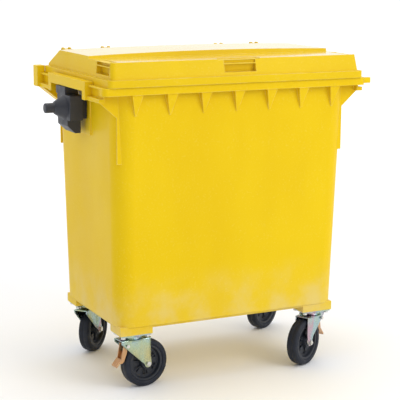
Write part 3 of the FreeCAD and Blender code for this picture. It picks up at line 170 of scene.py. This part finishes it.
def moulded_yellow(name, base, pale, deep, glazed_from=None):
    """Satin polyethylene: flow marks, grain, pale edges that are partly wear and partly painted highlight, a
    paler tint towards the foot and a glazed top.
    """
    s = Shade(name, base, 0.36)
    flow = s.ranged(s.noise(2.2, 4.0, place=s.stretched(1, 1, 0.45)), 0.3, 0.7, 0.0, 1.0)
    colour = s.mixed(flow, (*deep, 1), s.base)
    speck = s.ranged(s.noise(140, 2.0), 0.55, 0.8, 0.0, 0.16)
    colour = s.mixed(speck, colour, (*pale, 1))
    # Pale edges: partly rubbing wear, partly a painted highlight along the moulded edges.
    pale_edges = s.maths("MULTIPLY", s.edges(0.004), s.ranged(s.noise(22, 4.0), 0.38, 0.62, 0.25, 0.8))
    colour = s.mixed(pale_edges, colour, (*pale, 1))
    scratch = s.ranged(s.noise(16, 6.0, 0.7, place=s.stretched(7, 7, 0.6)), 0.62, 0.74, 0.0, 1.0)
    # The colour turns paler and duller towards the foot.
    low = s.ranged(s.height(), FOOT_PALE_TOP, FOOT_PALE_FULL, 0.0, 1.0)
    foot_paling = s.maths("MULTIPLY", low, s.ranged(s.noise(9, 5.0), 0.35, 0.75, 0.05, 0.4))
    colour = s.mixed(foot_paling, colour, FOOT_PALE)
    colour = s.mixed(s.maths("MULTIPLY", scratch, 0.10), colour, (*pale, 1))
    rough = s.ranged(s.noise(5.5, 4.0), 0.25, 0.75, 0.30, 0.44)
    rough = s.maths("ADD", rough, s.maths("MULTIPLY", scratch, 0.12))
    rounded_normal = s.add("ShaderNodeBevel", samples=6)
    rounded_normal.inputs["Radius"].default_value = EDGE_ROUNDING
    swell = s.bump(s.noise(7.0, 2.0), 0.0016, 0.35, below=rounded_normal.outputs["Normal"])
    grain = s.bump(s.noise(520, 2.0), 0.00012, 0.7, below=swell)
    s.shader.inputs["Specular IOR Level"].default_value = 0.09
    if glazed_from:
        upward = s.add("ShaderNodeSeparateXYZ")
        s.put(upward.inputs["Vector"], s.facing)
        level = s.ranged(upward.outputs["Z"], 0.9, 0.98, 0.0, 1.0)
        high = s.ranged(s.height(), glazed_from - GLAZE_BLEND, glazed_from + GLAZE_BLEND, 0.0, 1.0)
        s.put(s.shader.inputs["Coat Weight"], s.maths("MULTIPLY", level, high))
        s.shader.inputs["Coat Roughness"].default_value = 0.1
        s.shader.inputs["Coat IOR"].default_value = 3.0
    return s.finish(colour, rough, grain)


def grained_black(name, base, pale, grain_scale, roughness):
    """Dark plastic with a leathery grain, worn paler along its edges."""
    s = Shade(name, base, roughness)
    cloud = s.ranged(s.noise(18, 4.0), 0.3, 0.7, 0.0, 0.35)
    colour = s.mixed(cloud, s.base, (*pale, 1))
    pale_edges = s.maths("MULTIPLY", s.edges(0.0022), s.ranged(s.noise(60, 3.0), 0.35, 0.65, 0.15, 0.75))
    colour = s.mixed(pale_edges, colour, tuple(2.2 * part for part in pale) + (1,))
    rough = s.ranged(s.noise(35, 4.0), 0.3, 0.7, roughness - 0.08, roughness + 0.1)
    grain = s.bump(s.noise(grain_scale, 3.0), 0.0003, 0.55)
    return s.finish(colour, rough, grain)


def chromated_steel(name, stops, roughness):
    """Zinc with a chromate film whose tint drifts, with rolling marks and dulled edges."""
    s = Shade(name, stops[0][1], roughness, metallic=1.0)
    drift = s.noise(11, 1.5, 0.4, place=s.stretched(1, 1, 0.4))
    colour = s.ramp(drift, stops)
    spot = s.ranged(s.noise(160, 3.0), 0.6, 0.74, 0.0, 0.16)
    colour = s.mixed(spot, colour, (0.34, 0.32, 0.27, 1))
    colour = s.mixed(s.maths("MULTIPLY", s.edges(0.0012), 0.45), colour, (0.85, 0.83, 0.76, 1))
    rough = s.ranged(s.noise(50, 4.0), 0.3, 0.7, roughness - 0.07, roughness + 0.12)
    marks = s.bump(s.noise(260, 2.0, place=s.stretched(1, 1, 6)), 0.00008, 0.6)
    dents = s.bump(s.noise(30, 2.0), 0.0006, 0.35, below=marks)
    return s.finish(colour, rough, dents)


def smooth_rubber(name, base, dusty):
    """Solid rubber: moulding bloom in patches, grit and a dusty tread."""
    s = Shade(name, base, 0.5)
    bloom = s.ranged(s.noise(24, 5.0), 0.35, 0.7, 0.0, 0.4)
    colour = s.mixed(bloom, s.base, (*dusty, 1))
    grit = s.ranged(s.noise(420, 3.0), 0.62, 0.72, 0.0, 0.5)
    colour = s.mixed(grit, colour, (*dusty, 1))
    rough = s.ranged(s.noise(40, 4.0), 0.3, 0.7, 0.42, 0.62)
    fine = s.bump(s.noise(700, 2.0), 0.0001, 0.5)
    s.shader.inputs["Specular IOR Level"].default_value = 0.28
    return s.finish(colour, rough, s.bump(s.noise(60, 3.0), 0.0003, 0.4, below=fine))


GLOW_START = 1.5
GLOW_FULL = 6.0
GLOW = 0.3


def matt_floor(name, base):
    """Matt white floor that glows faintly away from the object."""
    s = Shade(name, base, 0.75)
    away = s.add("ShaderNodeVectorMath", operation="LENGTH")
    s.put(away.inputs[0], s.place)
    s.shader.inputs["Emission Color"].default_value = (1, 1, 1, 1)
    glow = s.ranged(away.outputs["Value"], GLOW_START, GLOW_FULL, 0.0, GLOW)
    s.put(s.shader.inputs["Emission Strength"], glow)
    return s.finish(roughness=s.ranged(s.noise(3.0), 0.3, 0.7, 0.7, 0.85))


CHROMATE = [
    (0.28, (0.52, 0.48, 0.24)),
    (0.40, (0.42, 0.52, 0.38)),
    (0.49, (0.35, 0.49, 0.52)),
    (0.56, (0.50, 0.35, 0.42)),
    (0.64, (0.38, 0.52, 0.46)),
    (0.78, (0.54, 0.50, 0.30)),
]
COPPER = [
    (0.25, (0.50, 0.27, 0.14)),
    (0.50, (0.62, 0.38, 0.20)),
    (0.70, (0.44, 0.28, 0.20)),
    (0.85, (0.56, 0.36, 0.20)),
]
BRIGHT = [(0.3, (0.62, 0.62, 0.61)), (0.6, (0.70, 0.69, 0.65)), (0.8, (0.56, 0.57, 0.58))]

GLAZE_DEPTH = 20.4 * MM
lid_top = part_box("lid")[1][2]

finishes = {
    "body_plastic": moulded_yellow(
        "body_yellow", base=(0.810, 0.560, 0.006), pale=(0.93, 0.78, 0.22), deep=(0.76, 0.505, 0.004)),
    "lid_plastic": moulded_yellow(
        "lid_yellow", base=(0.785, 0.545, 0.010), pale=(0.91, 0.75, 0.22), deep=(0.735, 0.495, 0.008),
        glazed_from=lid_top - GLAZE_DEPTH),
    "black_plastic": grained_black(
        "trunnion_black", base=(0.018, 0.020, 0.029), pale=(0.042, 0.046, 0.058),
        grain_scale=420, roughness=0.46),
    "castor_steel": chromated_steel("chromated_zinc", CHROMATE, 0.25),
    "bolt_steel": chromated_steel("plated_bolts", BRIGHT, 0.30),
    "rod_steel": chromated_steel("bright_rod", BRIGHT, 0.22),
    "tyre_rubber": smooth_rubber("tyre_rubber", base=(0.010, 0.013, 0.022), dusty=(0.026, 0.030, 0.044)),
    "rim_plastic": grained_black(
        "rim_nylon", base=(0.010, 0.013, 0.021), pale=(0.024, 0.028, 0.040),
        grain_scale=300, roughness=0.45),
}
pedal_copper = chromated_steel("pedal_copper", COPPER, 0.34)
floor_white = matt_floor("floor_paper", (0.91, 0.915, 0.93))

for subpart in frame["record"]["subparts"]:
    item = nodes[subpart["node"]]
    item.data.materials.clear()
    item.data.materials.append(finishes[subpart["material_slot"]])


# ---------------------------------------------------------------- mesh tools

SHARP_ANGLE = math.radians(35)
NODE_SHARP_ANGLE = math.radians(32)


def soften(item, width):
    """Rounded moulded or rolled edges on a CAD node, without touching its mesh."""
    weld = item.modifiers.new("weld", "WELD")
    weld.merge_threshold = 0.00002
    flat = item.modifiers.new("flat_faces", "DECIMATE")
    flat.decimate_type = "DISSOLVE"
    flat.angle_limit = math.radians(0.6)
    bevel = item.modifiers.new("rounded_edges", "BEVEL")
    bevel.width = width
    bevel.segments = 3
    bevel.limit_method = "ANGLE"
    bevel.angle_limit = NODE_SHARP_ANGLE
    bevel.use_clamp_overlap = False
    bevel.harden_normals = True
    bevel.miter_outer = "MITER_ARC"


def made(name, mesh_maker, body, slot, material=None, replaced=()):
    """A piece from mesh code: placed, finished, riding on its body and standing for its CAD nodes."""
    mesh = bpy.data.meshes.new(name)
    form = bmesh.new()
    mesh_maker(form)
    bmesh.ops.recalc_face_normals(form, faces=form.faces)
    form.to_mesh(mesh)
    form.free()
    for polygon in mesh.polygons:
        polygon.use_smooth = True
    piece = bpy.data.objects.new(name, mesh)
    bpy.context.scene.collection.objects.link(piece)
    mesh.materials.append(material or finishes[slot])
    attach(piece, body)
    if replaced:
        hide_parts(*replaced)
    return piece


def sharp_by_angle(piece):
    """Smooth shading except across sharp edges."""
    mesh = piece.data
    form = bmesh.new()
    form.from_mesh(mesh)
    for edge in form.edges:
        edge.smooth = len(edge.link_faces) == 2 and edge.calc_face_angle(0) < SHARP_ANGLE
    form.to_mesh(mesh)
    form.free()


def rounded(piece, width, segments=3):
    """Small rounds along the sharp edges of a piece made here."""
    bevel = piece.modifiers.new("rounded_edges", "BEVEL")
    bevel.width = width
    bevel.segments = segments
    bevel.limit_method = "ANGLE"
    bevel.angle_limit = SHARP_ANGLE
    bevel.harden_normals = True


def lathe(form, profile, place, segments):
    """Closed ring from a closed profile of (along the axis, radius), about the place's X axis."""
    rings = []
    for step in range(segments):
        angle = 2 * math.pi * step / segments
        ring = [
            form.verts.new(place @ Vector((along, radius * math.cos(angle), radius * math.sin(angle))))
            for along, radius in profile
        ]
        rings.append(ring)
    count = len(profile)
    for step in range(segments):
        here, there = rings[step], rings[(step + 1) % segments]
        for index in range(count):
            following = (index + 1) % count
            form.faces.new((here[index], here[following], there[following], there[index]))


def arc(centre, radius, first, last, steps):
    """Points on an arc, angles in degrees."""
    points = []
    for step in range(steps + 1):
        angle = math.radians(first + (last - first) * step / steps)
        points.append((centre[0] + radius * math.cos(angle), centre[1] + radius * math.sin(angle)))
    return points


def frame_of(joint_name):
    """Place whose origin is on the joint and whose X axis is the joint's axis."""
    facts = joint_facts[joint_name]
    along = Vector(facts["axis"]).normalized()
    up = Vector((0, 0, 1))
    if abs(along.z) > 0.9:
        up = Vector((1, 0, 0))
    side = up.cross(along).normalized()
    up = along.cross(side)
    turn = Matrix((along, side, up)).transposed().to_4x4()
    return Matrix.Translation(Vector(facts["pos_m"])) @ turn


# ---------------------------------------------------------------- castors

def castor_reach(mark):
    """A castor's swivel point and the level step from it to the axle."""
    swivel = Vector(joint_facts[f"swivel_turn_{mark}"]["pos_m"])
    axle = Vector(joint_facts[f"wheel_spin_{mark}"]["pos_m"])
    return swivel, Vector((axle.x - swivel.x, axle.y - swivel.y, 0))


def castor_place(mark):
    """Frame of a castor as modelled: swivel axis on Z from the floor, wheel trailing towards +X."""
    swivel, step = castor_reach(mark)
    floor_point = Vector((swivel.x, swivel.y, 0))
    return Matrix.Translation(floor_point) @ Matrix.Rotation(math.atan2(step.y, step.x), 4, "Z")


def trail_of(mark):
    return castor_reach(mark)[1].length


UPRIGHT = Matrix.Rotation(math.radians(-90), 4, "Y")
TYRE_RADIUS = 100 * MM
TYRE_SEAT = 76 * MM


def tyre_profile():
    """Half of the tyre's section, then its mirror image: seat, side wall with a ring, shoulder and tread."""
    half = [
        (20.6 * MM, TYRE_SEAT + 0.2 * MM),
        (23.2 * MM, 77.6 * MM),
        (24.2 * MM, 80.0 * MM),
        (24.4 * MM, 82.2 * MM),
        (24.9 * MM, 82.8 * MM),
        (24.9 * MM, 84.4 * MM),
        (24.4 * MM, 85.0 * MM),
        (24.5 * MM, 89.5 * MM),
    ]
    half += arc((15.0 * MM, 90.0 * MM), 9.4 * MM, 6, 84, 8)
    half += [(9.0 * MM, 99.8 * MM), (1.1 * MM, TYRE_RADIUS), (0.6 * MM, 99.5 * MM)]
    return half + [(-along, radius) for along, radius in reversed(half)]


def make_tyre(mark):
    place = frame_of(f"wheel_spin_{mark}")
    made(f"tyre_moulding_{mark}", lambda form: lathe(form, tyre_profile(), place, 128), f"wheel_{mark}",
         "tyre_rubber", replaced=[f"tyre_{mark}"])


RIB_COUNT = 6
FIRST_RIB = math.radians(30)
RIB_HUB_HALF = 2.2 * MM
RIB_RING_HALF = 1.5 * MM
RIB_HUB_RISE = 4 * MM
RIM_HUB = 22 * MM
RIM_RING = 56 * MM
RIM_WEB = 6.5 * MM
RIM_RIB_TOP = 10 * MM
RIM_WEB_HALF = 1.2 * MM
BOX_FACES = ((0, 1, 3, 2), (4, 6, 7, 5), (0, 2, 6, 4), (1, 5, 7, 3), (0, 4, 5, 1), (2, 3, 7, 6))


def make_rim_ribs(mark):
    """Tapered ribs on both faces of the rim, one along each spoke."""
    place = frame_of(f"wheel_spin_{mark}")

    def rib(form, face, angle):
        out = Vector((0, math.cos(angle), math.sin(angle)))
        side = Vector((0, -math.sin(angle), math.cos(angle)))
        hub_end = (RIM_HUB, RIM_RIB_TOP + RIB_HUB_RISE, RIB_HUB_HALF)
        ring_end = (RIM_RING, RIM_RIB_TOP, RIB_RING_HALF)
        corners = []
        for reach, top, half in (hub_end, ring_end):
            for along in (face * RIM_WEB, face * top):
                for sign in (-1, 1):
                    corner = Vector((along, 0, 0)) + out * reach + side * half * sign
                    corners.append(form.verts.new(place @ corner))
        for face_corners in BOX_FACES:
            form.faces.new([corners[index] for index in face_corners])

    def ribs(form):
        for face in (-1, 1):
            for step in range(RIB_COUNT):
                rib(form, face, FIRST_RIB + 2 * math.pi * step / RIB_COUNT)

    piece = made(f"rim_ribs_{mark}", ribs, f"wheel_{mark}", "rim_plastic")
    sharp_by_angle(piece)
    rounded(piece, 0.8 * MM, 2)


def make_rim_web(mark):
    """Thin disc in the middle of the rim, behind its windows."""
    place = frame_of(f"wheel_spin_{mark}")
    profile = [
        (-RIM_WEB_HALF, RIM_HUB),
        (-RIM_WEB_HALF, RIM_RING),
        (RIM_WEB_HALF, RIM_RING),
        (RIM_WEB_HALF, RIM_HUB),
    ]
    piece = made(f"rim_web_{mark}", lambda form: lathe(form, profile, place, 48), f"wheel_{mark}",
                 "rim_plastic")
    sharp_by_angle(piece)


RACE_BORE = 9 * MM
RACE_NECK = 41 * MM
RACE_RADIUS = 46 * MM
RACE_HALF_GAP = 0.7 * MM
RACE_LIFT = 0.1 * MM


def make_race(mark):
    """Two pressed cups with a gap between them, in place of the plain ring."""
    low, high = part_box(f"ball_race_{mark}")
    middle = Vector(((low[0] + high[0]) / 2, (low[1] + high[1]) / 2, 0))
    place = Matrix.Translation(middle) @ UPRIGHT
    z0, z1 = low[2] + RACE_LIFT, high[2]
    split = (z0 + z1) / 2
    profile = [
        (z0, RACE_BORE),
        (z0, 38 * MM),
        (z0 + 1.5 * MM, 43.5 * MM),
        (split - 2.2 * MM, 45.6 * MM),
        (split - RACE_HALF_GAP, 44.6 * MM),
        (split - RACE_HALF_GAP, RACE_NECK),
        (split + RACE_HALF_GAP, RACE_NECK),
        (split + RACE_HALF_GAP, RACE_RADIUS),
        (z1 - 3 * MM, RACE_RADIUS),
        (z1 - 0.8 * MM, 44 * MM),
        (z1, RACE_NECK),
        (z1, RACE_BORE),
    ]
    piece = made(f"race_cups_{mark}", lambda form: lathe(form, profile, place, 72), "container",
                 "castor_steel", replaced=[f"ball_race_{mark}"])
    sharp_by_angle(piece)


FORK_HALF = 36 * MM
FORK_SKIN = 4 * MM
FORK_EYE = 15.5 * MM
FORK_BEND = 9 * MM
FORK_LEAD = -63.5 * MM
FORK_LEAD_Z = 197 * MM
FORK_ROLL = 3.2 * MM
FORK_ROLL_WIDTH = 11 * MM
FORK_FOLD = 30 * MM
FORK_STEP = 4 * MM
FORK_TAIL_START = 6 * MM
FORK_TAIL_SLOPE = 0.5
FORK_TAIL_BLEND = 30 * MM
FORK_CROWN_INNER = 14 * MM
FORK_STATIONS = 68
FORK_DROP_STEPS = 14


def make_fork(mark):
    """Pressed fork: one bent sheet whose legs narrow to an eye, with a rolled leading edge and a fold."""
    place = castor_place(mark)
    trail = trail_of(mark)
    crown_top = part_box(f"fork_{mark}")[1][2]
    bend_start = crown_top - FORK_BEND
    rear = trail + FORK_EYE
    eye_start = trail - FORK_EYE

    def lower_edge(x):
        if x >= eye_start:
            reach = min(FORK_EYE, abs(x - trail))
            return TYRE_RADIUS - math.sqrt(max(FORK_EYE ** 2 - reach ** 2, 0))
        share = (x - FORK_LEAD) / (eye_start - FORK_LEAD)
        return FORK_LEAD_Z + (TYRE_RADIUS - FORK_LEAD_Z) * share

    def draw_in(x, z):
        """How far the sheet is pressed in: at the leading edge, ahead of the fold and behind the axle."""
        from_edge = max(z - lower_edge(x), 0)
        rolled = 0.0
        if x < eye_start:
            rolled = FORK_ROLL * max(0.0, 1 - from_edge / FORK_ROLL_WIDTH) ** 1.5
        share = min(1.0, max(0.0, (FORK_FOLD + FORK_STEP - x) / FORK_STEP))
        past_axle = max(0.0, x - (trail + FORK_TAIL_START))
        behind = FORK_TAIL_SLOPE * past_axle * min(1.0, from_edge / FORK_TAIL_BLEND)
        return rolled + FORK_STEP * share + behind

    def section(x):
        """Across the fork at x: up one leg, over the crown and down the other leg."""
        foot = lower_edge(x)
        half = []
        for step in range(FORK_DROP_STEPS):
            z = foot + (bend_start - foot) * step / FORK_DROP_STEPS
            half.append((FORK_HALF - draw_in(x, z), z))
        pressed = draw_in(x, bend_start)
        for y, z in arc((FORK_HALF - FORK_BEND, bend_start), FORK_BEND, 0, 90, 6):
            half.append((y - pressed * max(0.0, 1 - (z - bend_start) / FORK_BEND), z))
        half.append((FORK_CROWN_INNER, crown_top))
        return half + [(-y, z) for y, z in reversed(half)]

    def sheet(form):
        grid = []
        for station in range(FORK_STATIONS + 1):
            x = FORK_LEAD + (rear - FORK_LEAD) * station / FORK_STATIONS
            grid.append([form.verts.new(place @ Vector((x, y, z))) for y, z in section(x)])
        for here, there in zip(grid, grid[1:]):
            for index in range(len(here) - 1):
                form.faces.new((here[index], here[index + 1], there[index + 1], there[index]))

    piece = made(f"fork_pressing_{mark}", sheet, f"swivel_{mark}", "castor_steel", replaced=[f"fork_{mark}"])
    thick = piece.modifiers.new("sheet_thickness", "SOLIDIFY")
    thick.thickness = FORK_SKIN
    thick.offset = -1
    thick.use_even_offset = True
    rounded(piece, 0.9 * MM, 2)


def make_fork_crown(mark):
    """Round pressed crown under the ball race."""
    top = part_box(f"fork_{mark}")[1][2]
    place = castor_place(mark) @ UPRIGHT
    profile = [
        (top - 5 * MM, RACE_BORE),
        (top - 5 * MM, 46 * MM),
        (top - 3 * MM, 48.6 * MM),
        (top - 1 * MM, 48.8 * MM),
        (top, 47 * MM),
        (top, RACE_BORE),
    ]
    piece = made(f"fork_crown_{mark}", lambda form: lathe(form, profile, place, 72), f"swivel_{mark}",
                 "castor_steel")
    sharp_by_angle(piece)


BOSS_BORE = 7 * MM
BOSS_TOP = 12 * MM
BOSS_FOOT = 13.6 * MM
BOSS_RISE = 0.9 * MM
BOSS_DEPTH = 3 * MM


def make_axle_bosses(mark):
    """Raised rings on the fork's eyes, round the axle bolt."""
    centre = castor_place(mark) @ Matrix.Translation(Vector((trail_of(mark), 0, TYRE_RADIUS)))
    place = centre @ Matrix.Rotation(math.radians(90), 4, "Z")

    def bosses(form):
        for face in (-1, 1):
            outer = face * (FORK_HALF + BOSS_RISE)
            inner = face * (FORK_HALF - BOSS_DEPTH)
            profile = [(inner, BOSS_BORE), (outer, BOSS_BORE), (outer, BOSS_TOP), (inner, BOSS_FOOT)]
            lathe(form, profile, place, 40)

    sharp_by_angle(made(f"axle_bosses_{mark}", bosses, f"swivel_{mark}", "castor_steel"))


TREAD_MIDDLE = Vector((-69 * MM, 0, 116 * MM))
TREAD_TILT = math.radians(50)
GRIP_LENGTH = 38 * MM
GRIP_HALF = 18.4 * MM
GRIP_BASE = 2.3 * MM
RIDGES = 6
RIDGE_GAP = 0.12
RIDGE_FOOT = 1.2 * MM
RIDGE_TOP = 3.2 * MM
RIDGE_SLOPE = 1.3 * MM


def make_pedal_grip(mark):
    """Ridged cap over the outer face of the pedal's tread."""
    place = castor_place(mark)
    along = Vector((math.cos(TREAD_TILT), 0, math.sin(TREAD_TILT)))
    out = Vector((-math.sin(TREAD_TILT), 0, math.cos(TREAD_TILT)))
    outline = [(-GRIP_LENGTH / 2, 0.0)]
    for step in range(RIDGES):
        start = -GRIP_LENGTH / 2 + GRIP_LENGTH * (step + RIDGE_GAP) / RIDGES
        end = -GRIP_LENGTH / 2 + GRIP_LENGTH * (step + 1 - RIDGE_GAP) / RIDGES
        outline += [(start, RIDGE_FOOT), (start + RIDGE_SLOPE, RIDGE_TOP)]
        outline += [(end - RIDGE_SLOPE, RIDGE_TOP), (end, RIDGE_FOOT)]
    outline += [(GRIP_LENGTH / 2, 0.0)]

    def cap(form):
        sides = []
        for y in (-GRIP_HALF, GRIP_HALF):
            middle = TREAD_MIDDLE + Vector((0, y, 0))
            sides.append([
                form.verts.new(place @ (middle + along * a + out * (GRIP_BASE + h))) for a, h in outline
            ])
        near, far = sides
        for index in range(len(outline)):
            following = (index + 1) % len(outline)
            form.faces.new((near[index], near[following], far[following], far[index]))
        form.faces.new(near)
        form.faces.new(far)

    piece = made(f"pedal_grip_{mark}", cap, f"pedal_{mark}", "castor_steel", pedal_copper)
    sharp_by_angle(piece)
    rounded(piece, 0.5 * MM, 2)


# ---------------------------------------------------------------- lid

EAR_NEAR = 10 * MM
EAR_FAR = 19 * MM
EAR_OVERHANG = 23 * MM
CREST_FRONT = 15 * MM
CREST_REAR = 7 * MM
CREST_FOOT = 11 * MM
CREST_TOP = 21 * MM


def make_ear_crests(side):
    """Rounded crests on the hinge ears, which show above the lid's rear edge."""
    hinge = Vector(joint_facts["lid_hinge"]["pos_m"])
    low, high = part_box(f"hinge_rod_{side}")
    y = hinge.y + (CREST_REAR - CREST_FRONT) / 2
    z = hinge.z + (CREST_FOOT + CREST_TOP) / 2

    def crests(form):
        for middle in (low[0] + EAR_OVERHANG, high[0] - EAR_OVERHANG):
            for near, far in ((EAR_NEAR, EAR_FAR), (-EAR_FAR, -EAR_NEAR)):
                size = Vector((far - near, CREST_FRONT + CREST_REAR, CREST_TOP - CREST_FOOT))
                centre = Vector((middle + (near + far) / 2, y, z))
                block = Matrix.Translation(centre) @ Matrix.Diagonal((*size, 1))
                bmesh.ops.create_cube(form, size=1.0, matrix=block)

    piece = made(f"ear_crests_{side}", crests, "lid", "lid_plastic")
    sharp_by_angle(piece)
    rounded(piece, 3 * MM)


for side in ("left", "right"):
    make_ear_crests(side)
for mark in MARKS:
    make_tyre(mark)
    make_rim_ribs(mark)
    make_rim_web(mark)
    make_race(mark)
    make_fork(mark)
    make_fork_crown(mark)
    make_axle_bosses(mark)
for mark in BRAKED:
    make_pedal_grip(mark)
    for part in ("brake_pedal", "brake_shoe"):
        nodes[f"{part}_{mark}"].data.materials[0] = pedal_copper


# ---------------------------------------------------------------- moulded and rolled edges on the CAD nodes

EDGE_WIDTHS = {
    "trunnion_bracket": 2.5 * MM,
    "trunnion_screws": 0.7 * MM,
    "castor_plate": 1.4 * MM,
    "castor_bolts": 0.8 * MM,
    "kingpin": 0.8 * MM,
    "axle_bolt": 0.8 * MM,
    "rim": 1.2 * MM,
    "brake_pedal": 1.0 * MM,
    "brake_shoe": 0.8 * MM,
    "hinge_rod": 0.7 * MM,
}
for name, item in nodes.items():
    for start, width in EDGE_WIDTHS.items():
        if name.startswith(f"{start}_"):
            soften(item, width)
            break


# ---------------------------------------------------------------- floor, light and camera

FLOOR_HALF = 30.0
floor_mesh = bpy.data.meshes.new("floor")
floor_corners = [(x * FLOOR_HALF, y * FLOOR_HALF, 0) for x, y in ((-1, -1), (1, -1), (1, 1), (-1, 1))]
floor_mesh.from_pydata(floor_corners, [], [(0, 1, 2, 3)])
floor_mesh.materials.append(floor_white)
floor = bpy.data.objects.new("floor", floor_mesh)
bpy.context.scene.collection.objects.link(floor)

SKY = 0.95
WALL_GLOW = 0.1
FRONT_SHADE = 0.45
SIDE_SHADE = 0.4
world = bpy.data.worlds.new("studio")
world.use_nodes = True
bpy.context.scene.world = world


def light_the_studio(tree):
    """White surroundings: brighter low down behind the object, darker low down in front and on the left."""
    ray = tree.nodes.new("ShaderNodeTexCoord")
    parts = tree.nodes.new("ShaderNodeSeparateXYZ")
    tree.links.new(ray.outputs["Generated"], parts.inputs["Vector"])

    def window(socket, low, high, first, last):
        step = tree.nodes.new("ShaderNodeMapRange")
        step.interpolation_type = "SMOOTHSTEP"
        for name, setting in (("From Min", low), ("From Max", high), ("To Min", first), ("To Max", last)):
            step.inputs[name].default_value = setting
        tree.links.new(socket, step.inputs["Value"])
        return step.outputs["Result"]

    behind = window(parts.outputs["Y"], 0.35, 0.75, 0.0, WALL_GLOW)
    below_top = window(parts.outputs["Z"], 0.25, 0.5, 1.0, 0.0)
    in_front = window(parts.outputs["Y"], -0.35, -0.85, 0.0, -FRONT_SHADE)
    on_left = window(parts.outputs["X"], -0.4, -0.9, 0.0, -SIDE_SHADE)

    def joined(operation, first, second):
        step = tree.nodes.new("ShaderNodeMath")
        step.operation = operation
        tree.links.new(first, step.inputs[0])
        if isinstance(second, float):
            step.inputs[1].default_value = second
        else:
            tree.links.new(second, step.inputs[1])
        return step.outputs["Value"]

    walls = joined("ADD", joined("ADD", behind, in_front), on_left)
    total = joined("ADD", joined("MULTIPLY", walls, below_top), SKY)
    tree.links.new(total, tree.nodes["Background"].inputs["Strength"])


world.node_tree.nodes["Background"].inputs["Color"].default_value = (1.0, 1.0, 1.0, 1)
light_the_studio(world.node_tree)


def soft_light(name, place, aim, size, power):
    lamp = bpy.data.lights.new(name, "AREA")
    lamp.size = size
    lamp.energy = power
    item = bpy.data.objects.new(name, lamp)
    item.location = place
    item.rotation_euler = (Vector(aim) - Vector(place)).to_track_quat("-Z", "Y").to_euler()
    bpy.context.scene.collection.objects.link(item)


soft_light("key", (2.4, -4.6, 3.6), (0, 0, 0.7), 3.0, 95)
soft_light("overhead", (0, 0.6, 5.0), (0, 0, 0), 4.0, 60)

AZIMUTH = -26.0
ELEVATION = 11.0
ROLL = 0.3
DISTANCE = 5.532
TARGET = Vector((0.0069, 0, 0.6991))
SENSOR_WIDTH = 36.0
LENS = 116.07
lens_way = Vector((math.sin(math.radians(AZIMUTH)) * math.cos(math.radians(ELEVATION)),
                   -math.cos(math.radians(AZIMUTH)) * math.cos(math.radians(ELEVATION)),
                   math.sin(math.radians(ELEVATION))))
camera_data = bpy.data.cameras.new("camera")
camera_data.sensor_width = SENSOR_WIDTH
camera_data.lens = LENS
camera_data.clip_end = 100.0
camera = bpy.data.objects.new("camera", camera_data)
camera.location = TARGET + DISTANCE * lens_way
facing = (-lens_way).to_track_quat("-Z", "Y").to_matrix() @ Matrix.Rotation(math.radians(ROLL), 3, "Z")
camera.rotation_euler = facing.to_euler()
bpy.context.scene.collection.objects.link(camera)
bpy.context.scene.camera = camera
bpy.context.scene.view_settings.view_transform = "Standard"
